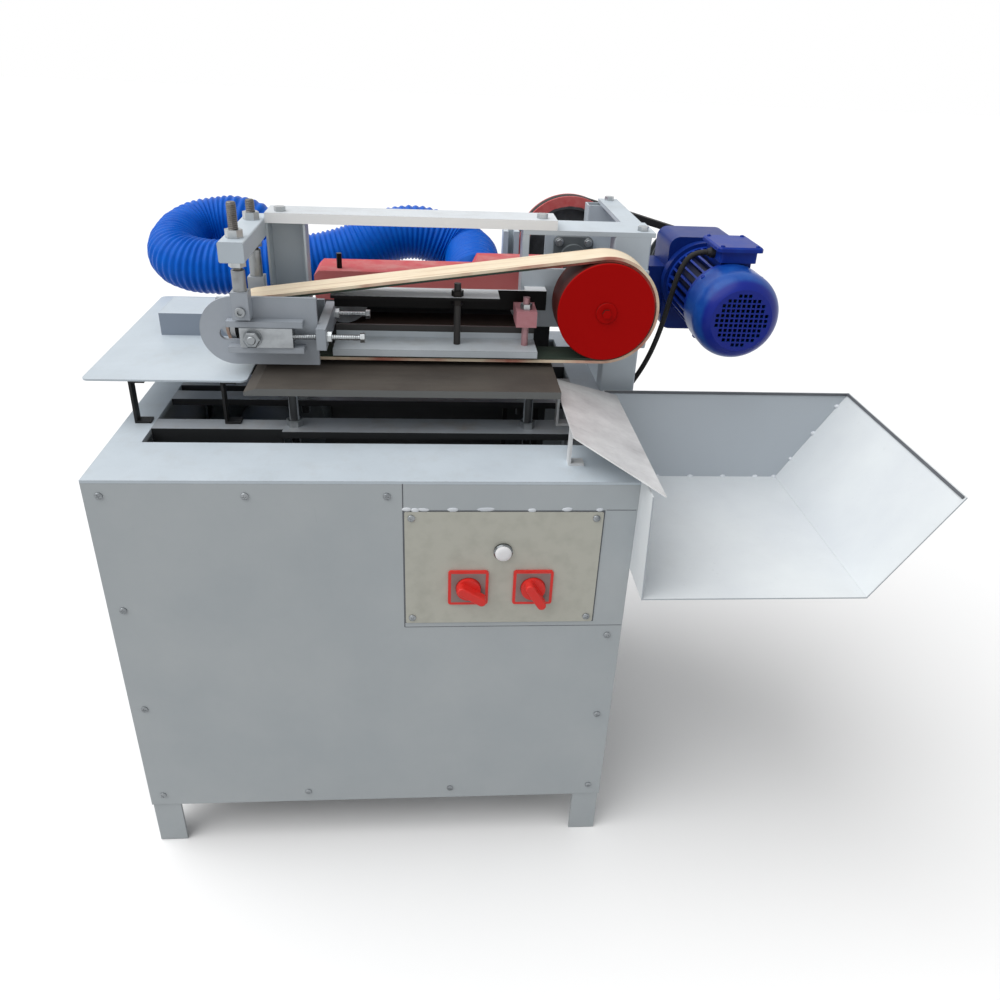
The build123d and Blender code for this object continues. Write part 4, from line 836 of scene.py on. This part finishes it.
def threadedRod(radius, length):  # stands on the origin, pointing up
    pitch = threadSet["pitch"] / 1000
    root = radius - threadSet["depth"] / 1000
    tip = threadSet["tip"] / 1000
    share = threadSet["tipShare"]
    core = cylinder(threadSet["steps"], root + threadSet["coreProud"] / 1000, length - tip)
    pickFaces(core, facesUp)
    bpy.ops.mesh.extrude_region_move(TRANSFORM_OT_translate={"value": (0, 0, tip)})
    bpy.ops.transform.resize(value=(share, share, 1.0))
    deselectAll()
    bpy.ops.mesh.primitive_circle_add(vertices=3, radius=radius)
    tooth = bpy.context.object
    corners = ((root, 0, 0), (radius, 0, pitch * threadSet["crest"]), (root, 0, pitch * threadSet["foot"]))
    for vertex, corner in zip(tooth.data.vertices, corners):
        vertex.co = corner
    applyModifier(tooth, "SCREW", axis="Z", angle=2 * math.pi, screw_offset=pitch, steps=threadSet["steps"],
                  render_steps=threadSet["steps"], iterations=int(length / pitch) - 1)
    activate(tooth)
    bpy.ops.object.mode_set(mode="EDIT")
    bpy.context.tool_settings.mesh_select_mode = (True, False, False)
    bpy.ops.mesh.select_all(action="DESELECT")
    bpy.ops.mesh.select_non_manifold()
    bpy.ops.mesh.fill()
    bpy.ops.mesh.select_all(action="SELECT")
    bpy.ops.mesh.normals_make_consistent(inside=False)
    rod = joinPieces([core, tooth])
    smooth(rod, 25)
    return rod


def hangerRods():
    low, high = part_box("hanger_rods")
    shank = (high.x - low.x) / 2
    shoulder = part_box("cross_arm")[0].z - hangerSet["shoulderDrop"] / 1000
    middleX = (low.x + high.x) / 2
    stems = []
    threads = []
    for y, foot, top in zip((low.y + shank, high.y - shank), hangerSet["feet"], hangerSet["tops"]):
        stem = cylinder(40, shank, shoulder - foot / 1000, foot / 1000)
        bevel(stem, hangerSet["round"], 2)
        smooth(stem, 30)
        stem.location = (middleX, y, 0)
        rod = threadedRod(hangerSet["radius"] / 1000, top / 1000 - shoulder)
        rod.location = (middleX, y, shoulder)
        stems.append(stem)
        threads.append(rod)
    stems = finishPiece(joinPieces(stems), "hangerRodStems", "drawnSteel", "machine")
    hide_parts("hanger_rods")
    finishPiece(joinPieces(threads), "hangerRodThreads", "oiledThread", "machine")


def pushScrews():
    low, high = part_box("push_screws")
    headLength = pushSet["headLength"] / 1000
    pieces = []
    for line in pushSet["lines"]:
        axis = Vector((0, spot(0, line, 0).y, (low.z + high.z) / 2))
        rod = threadedRod(pushSet["radius"] / 1000, high.x - low.x - headLength)
        rod.location = axis + Vector((low.x, 0, 0))
        head = cylinder(6, pushSet["headRadius"] / 1000, headLength)
        bevel(head, pushSet["headRound"], 2)
        head.location = axis + Vector((high.x - headLength, 0, 0))
        for piece in (rod, head):
            piece.rotation_euler = (0, math.pi / 2, 0)
            pieces.append(piece)
    screws = finishPiece(joinPieces(pieces), "pushScrewsThreaded", "zincPlate", "idler_tension")
    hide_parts("push_screws")


hangerRods()
pushScrews()

# Washer, chamfered nut and thread end over each end of the idler's axle, thinner behind to pass the post
axleSet = {
    "nut": 14.3, "nutLength": 10.5, "nutBase": 2.0, "chamfer": ((2.0, 1.2),),
    "washer": 15.6, "washerThickness": 2.2, "washerRound": 0.5,
    "thread": 8, "threadOut": 14.5, "rearShare": 0.75,
}


def axleNut():
    base = axleSet["nutBase"] / 1000
    washer = cylinder(40, axleSet["washer"] / 1000, axleSet["washerThickness"] / 1000)
    bevel(washer, axleSet["washerRound"], 2)
    nut = cylinder(6, axleSet["nut"] / 1000, axleSet["nutLength"] / 1000, base, rotation=(0, 0, math.pi / 6))
    raiseSteps(nut, axleSet["chamfer"])
    end = threadedRod(axleSet["thread"] / 1000, axleSet["threadOut"] / 1000 + base)
    return joinPieces([washer, nut, end])


def axleNuts():
    low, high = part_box("tension_blocks")
    axis = middleOf("idler_axle")
    thinner = Matrix.Diagonal((1.0, 1.0, axleSet["rearShare"], 1.0))
    places = [facing(Vector((axis.x, low.y, axis.z)), toFront),
              facing(Vector((axis.x, high.y, axis.z)), -toFront) @ thinner]
    finishPiece(copiesAt(axleNut(), places), "axleNuts", "nutSteel", "idler_tension")


axleNuts()
print("threads cut")

# Set screw with a socket in the front hanger clamp
bossSet = {"place": (214, 217, 981), "radius": 8.5, "height": 6, "round": 1.0, "socket": 4.5, "deep": 4}


def clampBoss():
    boss = cylinder(36, bossSet["radius"] / 1000, bossSet["height"] / 1000)
    bevel(boss, bossSet["round"], 3)
    pickFaces(boss, lambda face: facesUp(face) and len(face.vertices) > 8)
    bpy.ops.mesh.inset(thickness=(bossSet["radius"] - bossSet["round"] - bossSet["socket"]) / 1000)
    bpy.ops.mesh.extrude_region_move(TRANSFORM_OT_translate={"value": (0, 0, -bossSet["deep"] / 1000)})
    deselectAll()
    smooth(boss, 30)
    boss = copiesAt(boss, [facing(spot(*bossSet["place"]), toFront)])
    finishPiece(boss, "clampSetScrew", "nutSteel", "machine")


clampBoss()

# Bare grey squares in the red switch frames
insetSet = {"side": 56.5, "thickness": 1.6, "hole": 21, "holeDepth": 10, "proud": 0.3, "round": 0.2}


def switchInsets():
    low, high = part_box("switch_plates")
    side = insetSet["side"] / 1000
    thickness = insetSet["thickness"] / 1000
    holeDepth = insetSet["holeDepth"] / 1000
    hole = cylinder(48, insetSet["hole"] / 1000, holeDepth, -holeDepth / 2)
    plate = cuboid((side, side, thickness))
    bevel(plate, insetSet["round"], 1)
    cutBy(plate, hole)
    smooth(plate, 30)
    half = (high.z - low.z) / 2
    front = low.y - insetSet["proud"] / 1000 + thickness / 2
    places = [facing(Vector((x, front, low.z + half)), toFront) for x in (low.x + half, high.x - half)]
    finishPiece(copiesAt(plate, places), "switchInsets", "insetGrey", "machine")


switchInsets()

# White lens, wider than its thread, in the lamp's bezel
lensSet = {"radius": 13.2, "rim": 3.6, "behind": 1.0, "steps": ((1.6, 1.3), (3.4, 0.8), (4.2, 0.3))}


def lampLens():
    lens = raiseSteps(cylinder(48, lensSet["radius"] / 1000, lensSet["rim"] / 1000), lensSet["steps"])
    smooth(lens, 35)
    place = middleOf("lamp_lens")
    place.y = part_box("lamp_bezel")[0].y + lensSet["behind"] / 1000
    lens = copiesAt(lens, [facing(place, toFront)])
    finishPiece(lens, "lampLensWide", "lampWhite", "machine")
    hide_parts("lamp_lens")


lampLens()

# Dark strip round the control plate, widest above and to its right, painted as the shadow in the gap at its
# edge, and the seams of the sheet under it
gapShadowSet = {"left": 1.2, "right": 2.2, "below": 1.0, "above": 2.4, "thickness": 0.8, "round": 0.3}
seamSet = {
    "thickness": 0.3, "round": 0.1,
    "strips": [  # left, right, low, high
        (477.2, 478.8, 509, 783), (478.8, 848, 508.5, 509.5), (800, 848, 736.4, 737.6),
    ],
}


def jointStrip(low, high, sizes):
    thickness = sizes["thickness"] / 1000
    middle = (low + high) / 2
    middle.y = high.y - thickness / 2
    strip = cuboid((high.x - low.x, thickness, high.z - low.z), middle)
    bevel(strip, sizes["round"], 1)
    return strip


def plateShadowGap():
    low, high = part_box("control_plate")
    low = low - Vector((gapShadowSet["left"], 0, gapShadowSet["below"])) / 1000
    high = high + Vector((gapShadowSet["right"], 0, gapShadowSet["above"])) / 1000
    strips = [jointStrip(low, high, gapShadowSet)]
    for left, right, bottom, top in seamSet["strips"]:
        strips.append(jointStrip(spot(left, 0, bottom), spot(right, 0, top), seamSet))
    finishPiece(joinPieces(strips), "plateShadowGap", "shadowLineGrey", "machine")


plateShadowGap()
print("control plate dressed")

# Weld beads: along the control plate's top edge, and tacks in the tray's seams
weldSet = {
    "segments": 14, "rings": 8, "rough": 0.04, "seed": 5,
    "plate": [(484, 16), (497, 14), (510, 20), (556, 18), (608, 30), (681, 14), (737, 18), (789, 12)],
    "plateTop": 737, "width": (5.5, 8.0), "height": (3.0, 4.5), "tilt": 0.12, "stray": 1.0,
    "tackSize": (11, 9, 8), "tackLengths": (0.7, 1.2), "tackTurn": 0.3,
    "floorTacks": (906, 973, 1040, 1107, 1174, 1213),
    "cornerTacks": (0.22, 0.53, 0.85), "cornerLow": (1214.6, 327, 628), "cornerHigh": (1338.5, 351, 800),
}


def weldBead():  # one millimetre long, wide and high, lying on the origin
    deselectAll()
    bpy.ops.mesh.primitive_uv_sphere_add(
        segments=weldSet["segments"], ring_count=weldSet["rings"], radius=0.5 / 1000)
    bead = bpy.context.object
    activate(bead)
    bpy.ops.object.mode_set(mode="EDIT")
    bpy.ops.mesh.select_all(action="SELECT")
    bpy.ops.transform.vertex_random(offset=weldSet["rough"] / 1000, seed=weldSet["seed"])
    deselectAll()
    smooth(bead, 60)
    return bead


def evenly(most):  # a random draw to either side
    return dice.uniform(-most, most)


def weldBeads():
    places = []
    for x, length in weldSet["plate"]:
        width, height = dice.uniform(*weldSet["width"]), dice.uniform(*weldSet["height"])
        size = Matrix.Diagonal((length, width, height, 1.0))
        tilt = Matrix.Rotation(evenly(weldSet["tilt"]), 4, "Z")
        place = spot(x, 0, weldSet["plateTop"] + evenly(weldSet["stray"]))
        places.append(facing(place, toFront) @ tilt @ size)
    finishPiece(copiesAt(weldBead(), places), "plateWelds", "weldMetal", "machine")
    tacks = []
    low = spot(*weldSet["cornerLow"])
    high = spot(*weldSet["cornerHigh"])
    seams = [Vector((spot(x, 0, 0).x, low.y, low.z)) for x in weldSet["floorTacks"]]
    seams += [low.lerp(high, share) for share in weldSet["cornerTacks"]]
    length, width, height = weldSet["tackSize"]
    for place in seams:
        size = Matrix.Diagonal((length * dice.uniform(*weldSet["tackLengths"]), width, height, 1.0))
        turn = Matrix.Rotation(evenly(weldSet["tackTurn"]), 4, "Z")
        tacks.append(Matrix.Translation(place) @ turn @ size)
    finishPiece(copiesAt(weldBead(), tacks), "trayTacks", "weldMetal", "machine")


weldBeads()
print("welds run")

# Folded hem along the inner top edges of the tray's back and right walls, painted dark grey as the shadow line
# under the edge
hemSet = {
    "height": 5, "thickness": 2.6, "round": 0.9,
    "edges": [  # length, middle of the edge, up along the wall
        (486, (1095, 350.9, 800), (0, 24, 174)),
        (420, (1338.4, 141, 800), (124, 0, 174)),
    ],
}


def trayHem():
    strips = []
    for length, middle, slope in hemSet["edges"]:
        up = Vector(slope).normalized()
        inward = Vector((-up.z, 0, up.x)) if slope[0] else Vector((0, -up.z, up.y))
        size = [edge / 1000 for edge in (length, hemSet["height"], hemSet["thickness"])]
        strip = cuboid(size, (0, -size[1] / 2, size[2] / 2))
        bevel(strip, hemSet["round"], 3)
        smooth(strip, 40)
        turn = Matrix((up.cross(inward), up, inward)).transposed().to_4x4()
        strip.data.transform(Matrix.Translation(spot(*middle)) @ turn)
        strips.append(strip)
    finishPiece(joinPieces(strips), "trayHem", "shadowLineGrey", "machine")


trayHem()
print("tray hemmed")

# Band clamp with a tightening screw on the fan's end of the hose
clampSet = {
    "inside": 60.2, "band": 0.9, "width": 11, "end": (156, 776, 590), "housing": (9, 18, 12), "housingOut": 5,
    "housingRound": 2.5, "screwRadius": 3.5, "screwLength": 24, "screwPlace": (6, 14),
}


def hoseClamp():
    inside = clampSet["inside"] / 1000
    width = clampSet["width"] / 1000
    band = cylinder(72, inside, width, -width / 2, end_fill_type="NOTHING")
    applyModifier(band, "SOLIDIFY", thickness=clampSet["band"] / 1000, offset=1.0)
    smooth(band, 30)
    size = [edge / 1000 for edge in clampSet["housing"]]
    housing = cuboid(size, (inside + clampSet["housingOut"] / 1000, 0, 0))
    bevel(housing, clampSet["housingRound"], 3)
    smooth(housing, 40)
    screw = threadedRod(clampSet["screwRadius"] / 1000, clampSet["screwLength"] / 1000)
    screw.rotation_euler = (math.pi / 2, 0, 0)
    out, along = clampSet["screwPlace"]
    screw.location = (inside + out / 1000, along / 1000, 0)
    clamp = joinPieces([band, housing, screw])
    place = facing(spot(*clampSet["end"]), -toFront) @ Matrix.Rotation(math.pi / 2, 4, "Z")
    finishPiece(copiesAt(clamp, [place]), "hoseClamp", "zincPlate", "machine")


hoseClamp()
print("hose clamped")

# Pale floor, white to the eye, and soft light from above and a little to the left
floorSet = {"size": 40.0, "below": 1.0, "seen": "#f4f4f4", "bounce": 0.42}
lampSet = {"sun": 2.6, "sunAngle": 70, "sunTurn": (6, -34, 0), "sky": 0.52}


def seenDirectly(tree):  # 1 for camera, glossy and transmission rays, 0 for light that falls on the object
    glossy = addNode(tree, "LightPath", output="Is Glossy Ray")
    path = glossy.node.outputs
    mirrored = addNode(tree, "Math", {0: glossy, 1: path["Is Transmission Ray"]}, operation="MAXIMUM")
    return addNode(tree, "Math", {0: path["Is Camera Ray"], 1: mirrored}, operation="MAXIMUM")


def paleFloor():
    deselectAll()
    bpy.ops.mesh.primitive_plane_add(size=floorSet["size"], location=(0, 0, -floorSet["below"] / 1000))
    floor = bpy.context.object
    floor.name = "paleFloor"
    material, tree = startMaterial(Roughness=0.9)[:2]
    material.name = "paleFloor"
    bounce = [floorSet["bounce"]] * 3 + [1.0]
    seen = {0: seenDirectly(tree), 6: bounce, 7: linear(floorSet["seen"])}
    colour = addNode(tree, "Mix", seen, data_type="RGBA")
    tree.links.new(colour, shaderOf(material).inputs["Base Color"])
    floor.data.materials.append(material)


def studioLight():
    sunTurn = [math.radians(angle) for angle in lampSet["sunTurn"]]
    bpy.ops.object.light_add(type="SUN", rotation=sunTurn)
    sun = bpy.context.object
    sun.data.energy = lampSet["sun"]
    sun.data.angle = math.radians(lampSet["sunAngle"])
    world = bpy.data.worlds.new("studioSky")
    bpy.context.scene.world = world
    world.use_nodes = True
    tree = world.node_tree
    sky = tree.nodes["Background"]
    sky.inputs["Color"].default_value = (1.0, 1.0, 1.0, 1.0)
    strength = addNode(tree, "MapRange", {"Value": seenDirectly(tree), "To Min": lampSet["sky"]})
    tree.links.new(strength, sky.inputs["Strength"])
    bpy.context.scene.view_settings.view_transform = "Standard"


paleFloor()
studioLight()
print("stage and lamps set")
